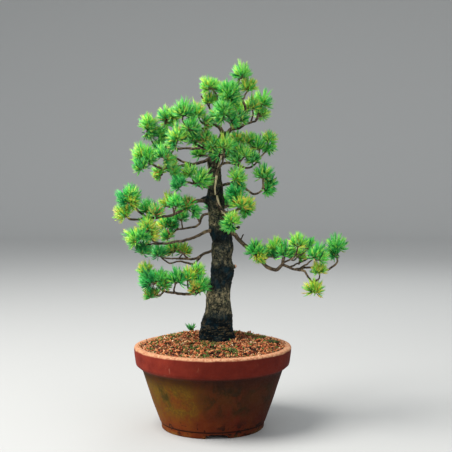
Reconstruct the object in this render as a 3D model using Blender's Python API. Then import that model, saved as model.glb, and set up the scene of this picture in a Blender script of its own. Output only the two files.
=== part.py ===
"""A Japanese white pine trained as a bonsai, in a round clay pot with mulched soil.

The plan of the tree is in millimetres from the pot's axis and from the surface that the pot stands
on: +X is the viewer's right, -Y the front and +Z up. Once every piece is made, all of them move
together so that the origin lies under the middle of the whole object's box.
"""

import math
import random
from functools import partial

import bmesh
import bpy
from mathutils import Matrix, Vector, noise

MM = 0.001
GAP = 0.3 * MM  # clearance between two pieces that touch

# The pot, thrown in brick-red clay.
POT_HEIGHT = 166 * MM
POT_RADIUS = 160 * MM  # outside of the rim
RIM_HEIGHT = 38 * MM
RIM_UNDERCUT = 9 * MM  # height of the slope from the rim back to the body
BODY_TOP_RADIUS = 143.5 * MM
BODY_FOOT_RADIUS = 107.5 * MM
FLOOR_RADIUS = 90 * MM  # flat part of the inside
FOOT_HEIGHT = 12 * MM
FLOOR_HEIGHT = 21 * MM  # inside face of the floor
DRAIN_RADIUS = 12 * MM
POT_SEGMENTS = 36

# The three arched drainage notches in the foot ring.
NOTCH_WIDTH = 44 * MM
NOTCH_HEIGHT = 8.5 * MM
NOTCH_REACH = (70 * MM, 130 * MM)  # from inside the ring to outside it
NOTCH_STEPS = 8
NOTCH_TURNS = (-84, 36, 156)  # degrees from +X

# The planting.
SOIL_EDGE_HEIGHT = 162.5 * MM  # top of the mulch at the pot's wall
SOIL_DOME = 19 * MM  # how much higher it is in the middle
SOIL_FLATNESS = 3  # the mound is flat in the middle and falls away near the wall
SOIL_RADIUS = 143 * MM
SOIL_SEGMENTS = 24
MULCH_DEPTH = 6 * MM
MULCH_TAPER = 3 * MM  # how much smaller its underside is
MULCH_RINGS = 4
MULCH_BUMP = 2.2 * MM
MESH_SIDE = 58 * MM  # the square of plastic mesh over the drain hole
MESH_THICKNESS = 1.2 * MM
MESH_HOLES = 4  # along each side
MESH_HOLE_SHARE = 0.62  # of the mesh's pitch

# The trunk, from the roots to the fork under the crown: (x, y, z, radius).
TRUNK = (
    (10, 0, 128, 30), (9, 0, 150, 40), (8, 0, 172, 38.5), (7, 0, 192, 35.5), (10, 0, 216, 30.5),
    (12, 1, 240, 25.5), (12, 3, 276, 24), (17, 4, 298, 22), (20, 4, 317, 24), (19, 4, 340, 20.8),
    (20, 4, 360, 22.4), (18, 3, 382, 21.2), (15, 2, 400, 22), (10, 1, 420, 18.6),
    (7, 0, 442, 17), (6, 0, 462, 17.4), (5, 0, 482, 15.4), (4, 0, 502, 13.4), (4, 0, 522, 12.2),
    (3, -1, 542, 11.6), (10, -2, 562, 10.4), (20, -4, 582, 9.2), (26, -5, 596, 8),
)
TRUNK_SIDES = 11
ROOT_SPREAD = 0.13  # how far the surface roots swell and sink round the foot of the trunk
ROOT_TOP = 215 * MM
ROOT_FADE = 60 * MM

# The cut stubs and the two small shoots that belong to the trunk: (radius, tip radius, route).
TRUNK_STUBS = (
    (8.5, 5, ((19, 0, 318), (36, -6, 322), (50, -10, 326))),
    (5, 3, ((22, 0, 400), (42, -8, 402), (54, -12, 407))),
    (3.2, 2.6, ((2, -6, 500), (2, -15, 490), (1, -17, 474))),
    (3.6, 2.0, ((2, -3, 558), (-12, -12, 564), (-28, -29, 570), (-46, -46, 586))),
    (2.2, 1.5, ((-20, -20, 566), (-14, -32, 578))),
)

# The limbs: every stem is (radius at its base, radius at its tip, route). The first stem of a limb
# leaves the trunk or an older limb, and the others fork from it.
LIMBS = {
    "crown_left_limb": (
        (6.6, 1.6, ((22, -7, 588), (14, -14, 608), (0, -20, 614), (-2, -23, 632), (-6, -29, 646),
            (-22, -38, 668))),
        (3.0, 1.8, ((-2, -19, 610), (-24, -35, 602), (-44, -49, 598), (-52, -58, 606),
            (-58, -65, 620))),
        (2.2, 1.5, ((-24, -35, 602), (-30, -38, 590))),
        (2.3, 1.5, ((-8, -29, 606), (-20, -44, 614), (-30, -52, 630))),
        (2.0, 1.5, ((-44, -49, 598), (-48, -61, 606), (-44, -70, 608))),
        (2.4, 1.6, ((0, -22, 618), (10, -35, 644), (10, -41, 666), (-2, -41, 686))),
        (2.0, 1.5, ((-6, -29, 644), (-6, -29, 658))),
    ),
    "crown_right_limb": (
        (5.9, 2.2, ((24, -7, 590), (38, -4, 604), (56, 0, 608), (68, 9, 616), (88, 20, 622),
            (94, 26, 638))),
        (2.3, 1.6, ((78, 16, 620), (82, 14, 640), (80, 9, 650))),
        (2.2, 1.6, ((88, 20, 624), (96, 29, 646), (100, 29, 660))),
        (3.8, 2.2, ((54, 0, 610), (56, -6, 624), (66, -13, 644), (60, -17, 660), (52, -20, 678),
            (52, -23, 696), (58, -29, 712))),
        (2.3, 1.6, ((56, -6, 620), (48, 3, 642), (36, 12, 662))),
        (2.4, 1.6, ((56, -6, 620), (38, -26, 626), (26, -44, 638))),
        (2.2, 1.6, ((62, -17, 664), (72, -16, 684))),
        (2.0, 1.5, ((54, -20, 672), (34, -38, 674))),
        (3.4, 2.0, ((38, -4, 604), (38, 32, 624), (38, 64, 644))),
        (2.2, 1.6, ((36, 17, 616), (16, 55, 636))),
        (2.2, 1.6, ((38, 35, 626), (58, 64, 642))),
    ),
    "upper_left_limb": (
        (4.7, 2.4, ((0, -3, 548), (-20, -13, 538), (-46, -23, 532), (-74, -36, 528),
            (-98, -44, 524), (-124, -41, 536), (-138, -38, 552))),
        (2.9, 2.0, ((-42, -22, 534), (-64, -36, 540), (-80, -55, 552), (-72, -65, 566),
            (-68, -68, 584))),
        (2.2, 1.5, ((-90, -41, 528), (-92, -55, 542), (-96, -61, 552))),
        (2.0, 1.5, ((-120, -41, 534), (-138, -49, 534))),
    ),
    "upper_left_back_limb": (
        (3.8, 2.4, ((2, 7, 558), (-20, 17, 566), (-48, 23, 566), (-80, 26, 568), (-92, 32, 584),
            (-100, 38, 606), (-96, 41, 632))),
        (2.4, 1.6, ((-82, 26, 568), (-112, 17, 568), (-126, 12, 584), (-128, 6, 608))),
        (2.0, 1.5, ((-98, 33, 592), (-114, 26, 600))),
        (2.0, 1.5, ((-104, 20, 568), (-108, 14, 572))),
    ),
    "shoulder_left_branch": (
        (4.1, 2.0, ((0, 0, 488), (-20, -12, 488), (-44, -29, 496), (-72, -44, 502),
            (-84, -46, 520))),
        (2.3, 1.5, ((-36, -23, 494), (-42, -29, 510))),
        (2.2, 1.5, ((-56, -36, 498), (-62, -55, 496))),
    ),
    "shoulder_left_back_branch": (
        (3.3, 1.8, ((0, 6, 516), (-32, 17, 518), (-64, 26, 512), (-84, 29, 522),
            (-108, 32, 522))),
        (2.0, 1.5, ((-60, 25, 514), (-72, 17, 518))),
    ),
    "second_left_branch": (
        (5.5, 2.4, ((0, 0, 464), (-20, -14, 460), (-36, -29, 458), (-54, -46, 444),
            (-80, -58, 432), (-106, -62, 428), (-134, -65, 426), (-160, -65, 424),
            (-168, -67, 436))),
        (2.6, 1.7, ((-128, -65, 428), (-144, -72, 440), (-150, -78, 456), (-158, -81, 468))),
        (2.2, 1.5, ((-126, -65, 428), (-130, -52, 444))),
        (2.3, 1.6, ((-76, -55, 432), (-78, -44, 446), (-86, -36, 456))),
        (2.2, 1.6, ((-76, -55, 432), (-70, -72, 452))),
        (2.2, 1.6, ((-40, -33, 454), (-50, -46, 456))),
        (2.0, 1.6, ((-106, -62, 428), (-110, -75, 438))),
    ),
    "third_left_back_branch": (
        (3.9, 2.0, ((4, 3, 434), (-20, 12, 430), (-32, 19, 408), (-68, 29, 400), (-84, 32, 394),
            (-92, 32, 390))),
        (2.2, 1.6, ((-62, 28, 402), (-66, 17, 422))),
        (2.2, 1.6, ((-68, 29, 400), (-84, 41, 406), (-100, 44, 410))),
        (2.3, 1.8, ((-28, 16, 416), (-34, 20, 426))),
    ),
    "third_left_branch": (
        (4.8, 2.2, ((6, 0, 402), (-16, -17, 396), (-40, -44, 386), (-72, -65, 380),
            (-102, -80, 378), (-118, -84, 388), (-124, -84, 406))),
        (2.3, 1.6, ((-114, -83, 384), (-138, -90, 390))),
        (2.3, 1.6, ((-98, -78, 378), (-120, -70, 376), (-136, -67, 374))),
    ),
    "fourth_left_branch": (
        (4.7, 2.0, ((10, 3, 360), (-14, 12, 352), (-36, 26, 340), (-68, 39, 338),
            (-104, 49, 340), (-136, 55, 354))),
        (2.9, 1.8, ((-24, 19, 346), (-40, 9, 330), (-66, 0, 336), (-90, -4, 334),
            (-108, -9, 348))),
        (2.2, 1.5, ((-70, 39, 338), (-64, 52, 350))),
        (2.4, 1.6, ((-52, 33, 340), (-66, 20, 354), (-82, 12, 366))),
    ),
    "lowest_left_branch": (
        (5.0, 2.4, ((12, 0, 294), (-10, -26, 284), (-44, -55, 276), (-74, -70, 280),
            (-98, -75, 286), (-112, -80, 306))),
        (2.4, 1.7, ((-74, -70, 280), (-74, -75, 292), (-70, -81, 308))),
        (2.3, 1.6, ((-94, -75, 284), (-106, -70, 274), (-118, -65, 276))),
        (2.8, 1.8, ((-32, -46, 280), (-26, -64, 296))),
        (2.2, 1.6, ((-40, -52, 276), (-48, -75, 296), (-46, -70, 312))),
        (2.0, 1.5, ((-102, -75, 288), (-100, -81, 306))),
    ),
    "long_right_branch": (
        (5.9, 3.7, ((16, 3, 398), (36, -4, 398), (56, -14, 378), (80, -26, 356), (104, -32, 332),
            (124, -35, 322), (138, -36, 330), (142, -38, 346))),
        (2.3, 1.6, ((88, -29, 348), (88, -38, 362))),
        (2.4, 1.6, ((98, -32, 338), (118, -20, 348))),
        (2.3, 1.6, ((144, -38, 338), (162, -52, 350), (168, -61, 370))),
        (2.0, 1.5, ((56, -14, 382), (62, -23, 392))),
    ),
    "long_right_branch_end": (
        (3.4, 2.4, ((146, -36, 330), (162, -41, 324), (182, -44, 320), (192, -48, 306),
            (202, -52, 296))),
        (2.9, 2.2, ((166, -41, 324), (186, -29, 326), (212, -17, 324), (234, -6, 320),
            (252, 0, 334), (254, 3, 356))),
        (2.3, 1.6, ((176, -36, 326), (188, -52, 336), (204, -65, 352))),
        (2.3, 1.6, ((154, -39, 328), (172, -20, 334), (192, -6, 342), (194, 0, 352))),
        (2.2, 1.6, ((198, -49, 300), (212, -44, 306), (212, -44, 320))),
        (2.0, 1.5, ((174, -19, 332), (178, -9, 344))),
    ),
    "middle_right_branch": (
        (3.8, 2.0, ((6, -3, 466), (12, -23, 450), (28, -35, 438), (50, -44, 444),
            (56, -45, 456))),
        (2.3, 1.6, ((26, -33, 438), (30, -41, 424), (36, -46, 422))),
        (2.0, 1.5, ((50, -44, 444), (66, -35, 448))),
    ),
    "upper_right_branch": (
        (3.9, 2.2, ((8, -3, 496), (10, -20, 520), (20, -29, 536), (24, -38, 562))),
        (3.4, 2.0, ((18, -28, 534), (38, -17, 536), (70, 0, 526), (92, 13, 540), (96, 17, 564))),
        (2.2, 1.5, ((96, 14, 546), (108, 23, 560), (114, 26, 582))),
        (2.2, 1.5, ((52, -10, 532), (62, -20, 546))),
        (2.0, 1.5, ((80, 6, 530), (80, -6, 546))),
    ),
    "shoulder_right_branch": (
        (3.9, 2.2, ((4, 0, 486), (34, -9, 494), (58, -14, 490), (82, -17, 474), (100, -12, 482),
            (102, -7, 508))),
        (2.2, 1.5, ((100, -12, 484), (110, -6, 490))),
        (2.3, 1.6, ((38, -9, 494), (42, -29, 504))),
        (2.0, 1.5, ((56, -14, 490), (46, -35, 480))),
    ),
    "middle_back_branch": (
        (4.3, 2.2, ((8, 4, 424), (14, 44, 436), (24, 81, 448))),
        (2.3, 1.6, ((12, 33, 432), (-2, 68, 446))),
        (2.2, 1.6, ((18, 61, 440), (42, 77, 452))),
    ),
    "upper_back_branch": (
        (4.1, 2.2, ((4, 2, 530), (0, 37, 544), (-4, 73, 560))),
        (2.3, 1.6, ((2, 24, 538), (22, 59, 550))),
        (2.2, 1.6, ((-2, 48, 550), (-26, 64, 554))),
    ),
}

TAPER = 1.5  # a stem thins fast near its foot, then slowly

# How each tuft of needles looks: the colour of its pad.
TONES = {
    "m": (0.045, 0.26, 0.055),
    "d": (0.02, 0.16, 0.05),
    "b": (0.12, 0.42, 0.05),
    "y": (0.28, 0.42, 0.04),
    "u": (0.03, 0.28, 0.11),
    "o": (0.16, 0.20, 0.03),
    "r": (0.36, 0.13, 0.04),
}
BRUSH_SIDES = 6
BRUSH_RIM = ((1.04, 0.3), (0.92, 0.62))  # across and along, as shares of the half size, in turn
BRUSH_TOP = 0.85
UPWARD = 0.7  # how strongly a tuft turns up to the light
LINK_SHARE = 0.62  # tufts further apart than this share of their sizes are linked
LINK_THICKNESS = 0.42  # as a share of the smaller tuft's half size

# The pads of needles: the limb that bears the pad, and its tufts as (x, y, z, half size, tone).
PADS = {
    "apex_needles": ("crown_right_limb", (
        (60, -29, 720, 19, "m"),
        (70, -17, 694, 17, "y"),
        (42, -41, 686, 15, "m"),
        (48, -32, 664, 15, "m"),
    )),
    "crown_front_needles": ("crown_right_limb", (
        (26, -52, 680, 19, "m"),
        (32, -52, 662, 18, "d"),
        (20, -61, 644, 18, "m"),
        (8, -49, 628, 16, "d"),
        (36, -35, 636, 15, "m"),
        (64, -29, 626, 13, "d"),
        (48, -35, 620, 14, "d"),
    )),
    "crown_left_top_needles": ("crown_left_limb", (
        (-12, -44, 692, 16, "b"),
        (8, -29, 690, 14, "b"),
        (-6, -32, 666, 15, "y"),
    )),
    "crown_right_needles": ("crown_right_limb", (
        (104, 29, 670, 20, "m"),
        (80, 6, 658, 17, "y"),
        (102, 38, 642, 16, "b"),
    )),
    "crown_left_needles": ("crown_left_limb", (
        (-56, -67, 642, 20, "m"),
        (-32, -55, 640, 17, "y"),
        (-38, -72, 612, 18, "m"),
        (-6, -52, 616, 13, "o"),
        (-30, -41, 586, 14, "d"),
    )),
    "upper_left_back_needles": ("upper_left_back_limb", (
        (-98, 41, 640, 17, "u"),
        (-78, 32, 640, 15, "b"),
        (-94, 49, 618, 16, "y"),
    )),
    "upper_left_mid_needles": ("upper_left_back_limb", (
        (-132, 6, 622, 17, "b"),
        (-122, 3, 598, 17, "d"),
        (-102, 23, 598, 16, "m"),
        (-108, 9, 576, 15, "d"),
    )),
    "upper_left_front_needles": ("upper_left_limb", (
        (-66, -68, 594, 20, "y"),
        (-80, -72, 574, 14, "d"),
    )),
    "far_left_needles": ("upper_left_limb", (
        (-144, -38, 558, 20, "b"),
        (-144, -52, 534, 16, "u"),
        (-120, -49, 550, 16, "m"),
        (-98, -64, 558, 16, "d"),
        (-82, -58, 542, 16, "o"),
    )),
    "left_hanging_needles": ("shoulder_left_back_branch", (
        (-116, 32, 518, 15, "r"),
        (-88, 17, 536, 14, "y"),
    )),
    "shoulder_left_needles": ("shoulder_left_branch", (
        (-72, -44, 520, 15, "m"),
        (-48, -32, 522, 16, "b"),
        (-70, -58, 498, 16, "u"),
    )),
    "trunk_front_needles": ("shoulder_left_branch", (
        (-16, -46, 506, 20, "m"),
    )),
    "upper_trunk_needles": ("upper_right_branch", (
        (24, -41, 578, 19, "b"),
        (4, -38, 558, 15, "d"),
        (-6, -46, 578, 16, "b"),
        (-18, -49, 590, 15, "o"),
        (-42, -61, 590, 15, "d"),
    )),
    "upper_right_front_needles": ("upper_right_branch", (
        (64, -20, 560, 16, "b"),
        (44, -20, 546, 14, "m"),
        (80, -12, 548, 15, "d"),
        (46, 3, 568, 17, "m"),
        (48, 6, 590, 15, "y"),
        (68, 12, 588, 15, "y"),
    )),
    "upper_right_needles": ("upper_right_branch", (
        (90, 17, 578, 19, "m"),
        (116, 26, 592, 15, "y"),
        (116, 26, 564, 15, "m"),
    )),
    "shoulder_right_front_needles": ("shoulder_right_branch", (
        (52, -32, 514, 19, "b"),
        (54, -23, 490, 14, "d"),
        (40, -41, 474, 18, "u"),
    )),
    "shoulder_right_needles": ("shoulder_right_branch", (
        (102, -6, 520, 19, "m"),
        (118, -3, 502, 14, "d"),
        (116, -6, 480, 14, "m"),
    )),
    "middle_right_needles": ("middle_right_branch", (
        (58, -45, 462, 19, "y"),
        (74, -32, 456, 15, "y"),
        (66, -38, 438, 14, "m"),
        (42, -49, 428, 15, "b"),
        (28, -49, 412, 15, "m"),
    )),
    "second_left_tip_needles": ("second_left_branch", (
        (-178, -70, 440, 17, "y"),
        (-174, -81, 468, 18, "u"),
        (-156, -75, 478, 17, "m"),
        (-150, -84, 458, 15, "y"),
    )),
    "second_left_middle_needles": ("second_left_branch", (
        (-130, -52, 450, 17, "m"),
        (-110, -75, 444, 16, "o"),
    )),
    "second_left_inner_needles": ("second_left_branch", (
        (-88, -36, 462, 18, "y"),
        (-70, -75, 462, 16, "m"),
        (-52, -55, 458, 15, "o"),
        (-30, -44, 440, 13, "m"),
    )),
    "third_left_back_needles": ("third_left_back_branch", (
        (-66, 17, 432, 16, "m"),
        (-82, 35, 416, 16, "d"),
        (-104, 46, 414, 16, "y"),
        (-98, 35, 390, 15, "o"),
    )),
    "third_left_needles": ("third_left_branch", (
        (-126, -84, 418, 17, "y"),
        (-112, -78, 398, 14, "y"),
        (-156, -90, 392, 19, "b"),
        (-132, -96, 398, 14, "m"),
        (-134, -67, 370, 16, "d"),
    )),
    "fourth_left_needles": ("fourth_left_branch", (
        (-110, -9, 360, 16, "u"),
        (-88, 12, 364, 16, "o"),
        (-60, 49, 360, 16, "y"),
        (-140, 55, 362, 14, "d"),
    )),
    "lowest_left_tip_needles": ("lowest_left_branch", (
        (-126, -80, 312, 21, "u"),
        (-134, -67, 328, 15, "y"),
        (-100, -84, 316, 16, "m"),
        (-90, -90, 300, 14, "o"),
        (-122, -65, 282, 15, "o"),
    )),
    "lowest_left_inner_needles": ("lowest_left_branch", (
        (-70, -81, 316, 19, "m"),
        (-48, -70, 318, 16, "y"),
        (-22, -70, 302, 20, "m"),
        (-36, -84, 294, 13, "r"),
        (-26, -61, 326, 15, "b"),
    )),
    "long_right_inner_needles": ("long_right_branch", (
        (86, -41, 368, 19, "m"),
        (98, -46, 348, 14, "y"),
        (118, -20, 360, 17, "d"),
        (128, -32, 374, 15, "b"),
        (146, -39, 364, 19, "m"),
    )),
    "long_right_middle_needles": ("long_right_branch", (
        (168, -62, 384, 17, "b"),
        (178, -12, 354, 15, "y"),
        (196, 0, 370, 17, "m"),
    )),
    "long_right_outer_needles": ("long_right_branch_end", (
        (210, -67, 360, 20, "m"),
        (210, -44, 328, 15, "y"),
    )),
    "long_right_low_needles": ("long_right_branch_end", (
        (202, -54, 292, 18, "y"),
    )),
    "long_right_tip_needles": ("long_right_branch_end", (
        (252, 3, 374, 20, "m"),
        (242, -9, 356, 14, "d"),
    )),
    "middle_back_needles": ("middle_back_branch", (
        (28, 88, 460, 19, "m"),
        (-4, 75, 456, 17, "d"),
        (48, 81, 464, 17, "y"),
    )),
    "upper_back_needles": ("upper_back_branch", (
        (-4, 79, 574, 19, "m"),
        (24, 68, 562, 17, "d"),
        (-30, 70, 564, 17, "m"),
    )),
    "crown_back_needles": ("crown_right_limb", (
        (38, 55, 656, 19, "m"),
        (12, 48, 644, 16, "d"),
        (62, 55, 652, 16, "y"),
    )),
}

# The cushion of moss and the small weed that grow in the mulch.
MOSS_PLACE = (118, -14)
MOSS_SIZE = (15, 10, 5)
WEED_PLACE = (-48, 122)
WEED_CROWN = 2.6  # radius of the foot that its blades grow from
# The blades of the weed: (degrees from +X, how far it leans out, length).
WEED_BLADES = ((20, 0.9, 12), (95, 0.7, 13), (160, 1.0, 11), (235, 0.8, 13), (300, 0.9, 10))


def clear_scene():
    for obj in list(bpy.data.objects):
        bpy.data.objects.remove(obj, do_unlink=True)


def make_material(name, colour, roughness):
    material = bpy.data.materials.new(name)
    material.use_nodes = True
    shader = material.node_tree.nodes["Principled BSDF"]
    shader.inputs["Base Color"].default_value = (*colour, 1)
    shader.inputs["Roughness"].default_value = roughness
    material.diffuse_color = (*colour, 1)
    return material


def new_object(name, shape, material=None, sharp=None):
    """Turns a bmesh into an object, and frees the bmesh."""
    bmesh.ops.recalc_face_normals(shape, faces=shape.faces)
    mesh = bpy.data.meshes.new(name)
    shape.to_mesh(mesh)
    shape.free()
    obj = bpy.data.objects.new(name, mesh)
    bpy.context.scene.collection.objects.link(obj)
    if material:
        mesh.materials.append(material)
    if sharp is not None:
        mesh.shade_smooth()
        mesh.set_sharp_from_angle(angle=math.radians(sharp))
    return obj


def combine(obj, shape, operation):
    """Joins a bmesh to the object or cuts it away, for good."""
    other = new_object("other", shape)
    modifier = obj.modifiers.new("combine", "BOOLEAN")
    modifier.solver = "EXACT"
    modifier.operation = operation
    modifier.object = other
    bpy.context.view_layer.update()
    result = obj.evaluated_get(bpy.context.evaluated_depsgraph_get())
    mesh = bpy.data.meshes.new_from_object(result)
    finished = (obj.data, other.data)
    obj.modifiers.clear()
    obj.data = mesh
    bpy.data.objects.remove(other, do_unlink=True)
    for old in finished:
        bpy.data.meshes.remove(old)


def bodies_of(shape):
    """The separate bodies of a bmesh, each a list of its faces, largest first."""
    unseen = set(shape.faces)
    found = []
    while unseen:
        body = [unseen.pop()]
        for face in body:
            near = {other for edge in face.edges for other in edge.link_faces} & unseen
            unseen -= near
            body.extend(near)
        found.append(body)
    return sorted(found, key=lambda body: -sum(face.calc_area() for face in body))


def keep_main_body(obj):
    """A cut can leave crumbs beside the main body, and they are dropped."""
    shape = bmesh.new()
    shape.from_mesh(obj.data)
    crumbs = [face for body in bodies_of(shape)[1:] for face in body]
    bmesh.ops.delete(shape, geom=crumbs, context="FACES")
    shape.to_mesh(obj.data)
    shape.free()


def box_of(points, grow=0.0):
    low = [min(point[i] for point in points) - grow for i in range(3)]
    high = [max(point[i] for point in points) + grow for i in range(3)]
    return low, high


def boxes_meet(a, b):
    return all(a[0][i] <= b[1][i] and b[0][i] <= a[1][i] for i in range(3))


def turned(profile, segments=POT_SEGMENTS):
    """Turns a closed outline of (radius, height) points about the Z axis."""
    shape = bmesh.new()
    turns = [2 * math.pi * i / segments for i in range(segments)]
    rings = []
    for radius, height in profile:
        if radius == 0:
            rings.append([shape.verts.new((0, 0, height))] * segments)
            continue
        around = [(radius * math.cos(turn), radius * math.sin(turn), height) for turn in turns]
        rings.append([shape.verts.new(place) for place in around])
    for ring, after in zip(rings, rings[1:] + rings[:1]):
        for i in range(segments):
            j = (i + 1) % segments
            corners = list(dict.fromkeys((ring[i], ring[j], after[j], after[i])))
            if len(corners) > 2:
                shape.faces.new(corners)
    return shape


def smooth_route(points, pieces):
    """Points along a smooth curve through the given ones, with some pieces to each span."""
    ends = [2 * points[0] - points[1], *points, 2 * points[-1] - points[-2]]
    route = []
    for a, b, c, d in zip(ends, ends[1:], ends[2:], ends[3:]):
        for step in range(pieces):
            t = step / pieces
            route.append(
                0.5 * (2 * b + (c - a) * t + (2 * a - 5 * b + 4 * c - d) * t * t
                       + (3 * b - a - 3 * c + d) * t * t * t)
            )
    return route + [points[-1]]


def tube(route, radii, sides, swell=None):
    """A closed tube along the route, with a blunt point at each end."""
    shape = bmesh.new()
    along = (route[1] - route[0]).normalized()
    side = along.orthogonal().normalized()
    rings = []
    for i, (point, radius) in enumerate(zip(route, radii)):
        ahead = (route[min(i + 1, len(route) - 1)] - route[max(i - 1, 0)]).normalized()
        side = (side - ahead * side.dot(ahead)).normalized()
        other = ahead.cross(side)
        ring = []
        for k in range(sides):
            turn = 2 * math.pi * k / sides
            out = side * math.cos(turn) + other * math.sin(turn)
            reach = radius * (swell(point, out) if swell else 1)
            ring.append(shape.verts.new(point + out * reach))
        rings.append(ring)
    for ring, after in zip(rings, rings[1:]):
        for k in range(sides):
            j = (k + 1) % sides
            shape.faces.new((ring[k], ring[j], after[j], after[k]))
    for ring, end, before, radius in (
        (rings[0], route[0], route[1], radii[0]),
        (rings[-1], route[-1], route[-2], radii[-1]),
    ):
        tip = shape.verts.new(end + (end - before).normalized() * radius * 0.5)
        for k in range(sides):
            shape.faces.new((ring[k], ring[(k + 1) % sides], tip))
    bmesh.ops.recalc_face_normals(shape, faces=shape.faces)
    # A tube and a thicker copy of it that cuts its neighbours bend along the same diagonals.
    bmesh.ops.triangulate(shape, faces=shape.faces, quad_method="FIXED")
    return shape


def stem(plan, grow=0.0):
    """One stem of a limb from its plan: (base radius, tip radius, route)."""
    base, tip, corners = plan
    points = [Vector(corner) * MM for corner in corners]
    route = smooth_route(points, 2 if base > 3 else 1)
    last = len(route) - 1
    radii = [(tip + (base - tip) * (1 - i / last) ** TAPER) * MM + grow for i in range(last + 1)]
    return tube(route, radii, 6 if base > 3 else 4)


def stem_box(plan):
    return box_of([Vector(corner) * MM for corner in plan[2]], grow=plan[0] * MM + 2 * MM)


def brush(tuft, way, grow=0.0):
    """One tuft of needles as a solid: a shuttlecock, narrow where it leaves the twig, with a
    ragged rim where the needles end."""
    x, y, z, size, _ = tuft
    size = size * MM + grow
    lean = Vector((0, 0, 1)).rotation_difference(way).to_matrix().to_4x4()
    place = Matrix.Translation(Vector((x, y, z)) * MM) @ lean
    shape = bmesh.new()
    base = shape.verts.new((0, 0, -size))
    rim = []
    for k in range(BRUSH_SIDES):
        turn = 2 * math.pi * k / BRUSH_SIDES
        across, rise = (share * size for share in BRUSH_RIM[k % 2])
        rim.append(shape.verts.new((across * math.cos(turn), across * math.sin(turn), rise)))
    top = shape.verts.new((0, 0, BRUSH_TOP * size))
    for k in range(BRUSH_SIDES):
        j = (k + 1) % BRUSH_SIDES
        shape.faces.new((base, rim[j], rim[k]))
        shape.faces.new((rim[k], rim[j], top))
    bmesh.ops.transform(shape, matrix=place, verts=shape.verts)
    bmesh.ops.recalc_face_normals(shape, faces=shape.faces)
    return shape


def brush_ways(limb, tufts):
    """Each tuft points away from the nearest twig end of its limb, and turns up to the light."""
    ends = [Vector(plan[2][-1]) for plan in limb]
    ways = []
    for tuft in tufts:
        middle = Vector(tuft[:3])
        nearest = min(ends, key=lambda end: (end - middle).length)
        away = middle - nearest
        way = away.normalized() * min(1, away.length / 12) + Vector((0, 0, UPWARD))
        ways.append(way.normalized())
    return ways


def build_pot():
    top = POT_HEIGHT
    rim_foot = POT_HEIGHT - RIM_HEIGHT
    profile = (
        (POT_RADIUS - 11.5 * MM, top),
        (POT_RADIUS - 5 * MM, top),
        (POT_RADIUS - 1.4 * MM, top - 1.3 * MM),
        (POT_RADIUS, top - 4.5 * MM),
        (POT_RADIUS - 3.5 * MM, rim_foot + 4 * MM),
        (POT_RADIUS - 6 * MM, rim_foot),
        (BODY_TOP_RADIUS, rim_foot - RIM_UNDERCUT),
        (BODY_FOOT_RADIUS + 14.8 * MM, FOOT_HEIGHT + 42 * MM),
        (BODY_FOOT_RADIUS, FOOT_HEIGHT + 2 * MM),
        (BODY_FOOT_RADIUS - 2.2 * MM, FOOT_HEIGHT),
        (BODY_FOOT_RADIUS - 3.5 * MM, 0),
        (BODY_FOOT_RADIUS - 16 * MM, 0),
        (BODY_FOOT_RADIUS - 20 * MM, FOOT_HEIGHT - 1 * MM),
        (DRAIN_RADIUS, FOOT_HEIGHT - 1 * MM),
        (DRAIN_RADIUS, FLOOR_HEIGHT),
        *reversed(pot_inside()),
    )
    clay = make_material("brick_red_clay", (0.30, 0.085, 0.045), 0.8)
    pot = new_object("pot", turned(profile), clay, sharp=35)
    for turn in NOTCH_TURNS:
        combine(pot, foot_notch(math.radians(turn)), "DIFFERENCE")
    return pot


def pot_inside():
    """The inner wall's outline, from the lip down to the edge of the floor."""
    return (
        (POT_RADIUS - 13.5 * MM, POT_HEIGHT - 1.5 * MM),
        (SOIL_RADIUS + 1 * MM, POT_HEIGHT - 9 * MM),
        (BODY_TOP_RADIUS - 8 * MM, POT_HEIGHT - 22 * MM),
        (BODY_TOP_RADIUS - 13 * MM, POT_HEIGHT - 44 * MM),
        (FLOOR_RADIUS + 8 * MM, FLOOR_HEIGHT + 8 * MM),
        (FLOOR_RADIUS, FLOOR_HEIGHT),
    )


def foot_notch(turn):
    """The cutter for one arched notch through the foot ring."""
    shape = bmesh.new()
    half = NOTCH_WIDTH / 2
    arch = [(-half, -NOTCH_HEIGHT), (half, -NOTCH_HEIGHT)]
    for i in range(NOTCH_STEPS + 1):
        a = math.pi * i / NOTCH_STEPS
        arch.append((half * math.cos(a), NOTCH_HEIGHT * math.sin(a) ** 0.6))
    near, far = ([shape.verts.new((reach, across, up)) for across, up in arch] for reach in NOTCH_REACH)
    shape.faces.new(near)
    shape.faces.new(far[::-1])
    for i in range(len(arch)):
        j = (i + 1) % len(arch)
        shape.faces.new((near[i], far[i], far[j], near[j]))
    bmesh.ops.recalc_face_normals(shape, faces=shape.faces)
    bmesh.ops.transform(shape, matrix=Matrix.Rotation(turn, 4, "Z"), verts=shape.verts)
    return shape


def block(size, middle):
    shape = bmesh.new()
    bmesh.ops.create_cube(shape, size=1)
    bmesh.ops.scale(shape, vec=size, verts=shape.verts)
    bmesh.ops.translate(shape, vec=middle, verts=shape.verts)
    return shape


def build_drain_mesh():
    """A square of plastic mesh that lies on the pot's floor and keeps the soil in."""
    low = FLOOR_HEIGHT + GAP
    plate = block((MESH_SIDE, MESH_SIDE, MESH_THICKNESS), (0, 0, low + MESH_THICKNESS / 2))
    obj = new_object("drain_mesh", plate, make_material("black_plastic", (0.012, 0.012, 0.013), 0.5))
    pitch = MESH_SIDE / MESH_HOLES
    side = pitch * MESH_HOLE_SHARE
    places = [(i + 0.5) * pitch - MESH_SIDE / 2 for i in range(MESH_HOLES)]
    for x in places:
        for y in places:
            combine(obj, block((side, side, 4 * MESH_THICKNESS), (x, y, low)), "DIFFERENCE")
    return obj


def ground(radius):
    """The height of the planting's surface at a distance from the pot's axis."""
    return SOIL_EDGE_HEIGHT + SOIL_DOME * (1 - (radius / SOIL_RADIUS) ** SOIL_FLATNESS)


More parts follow.
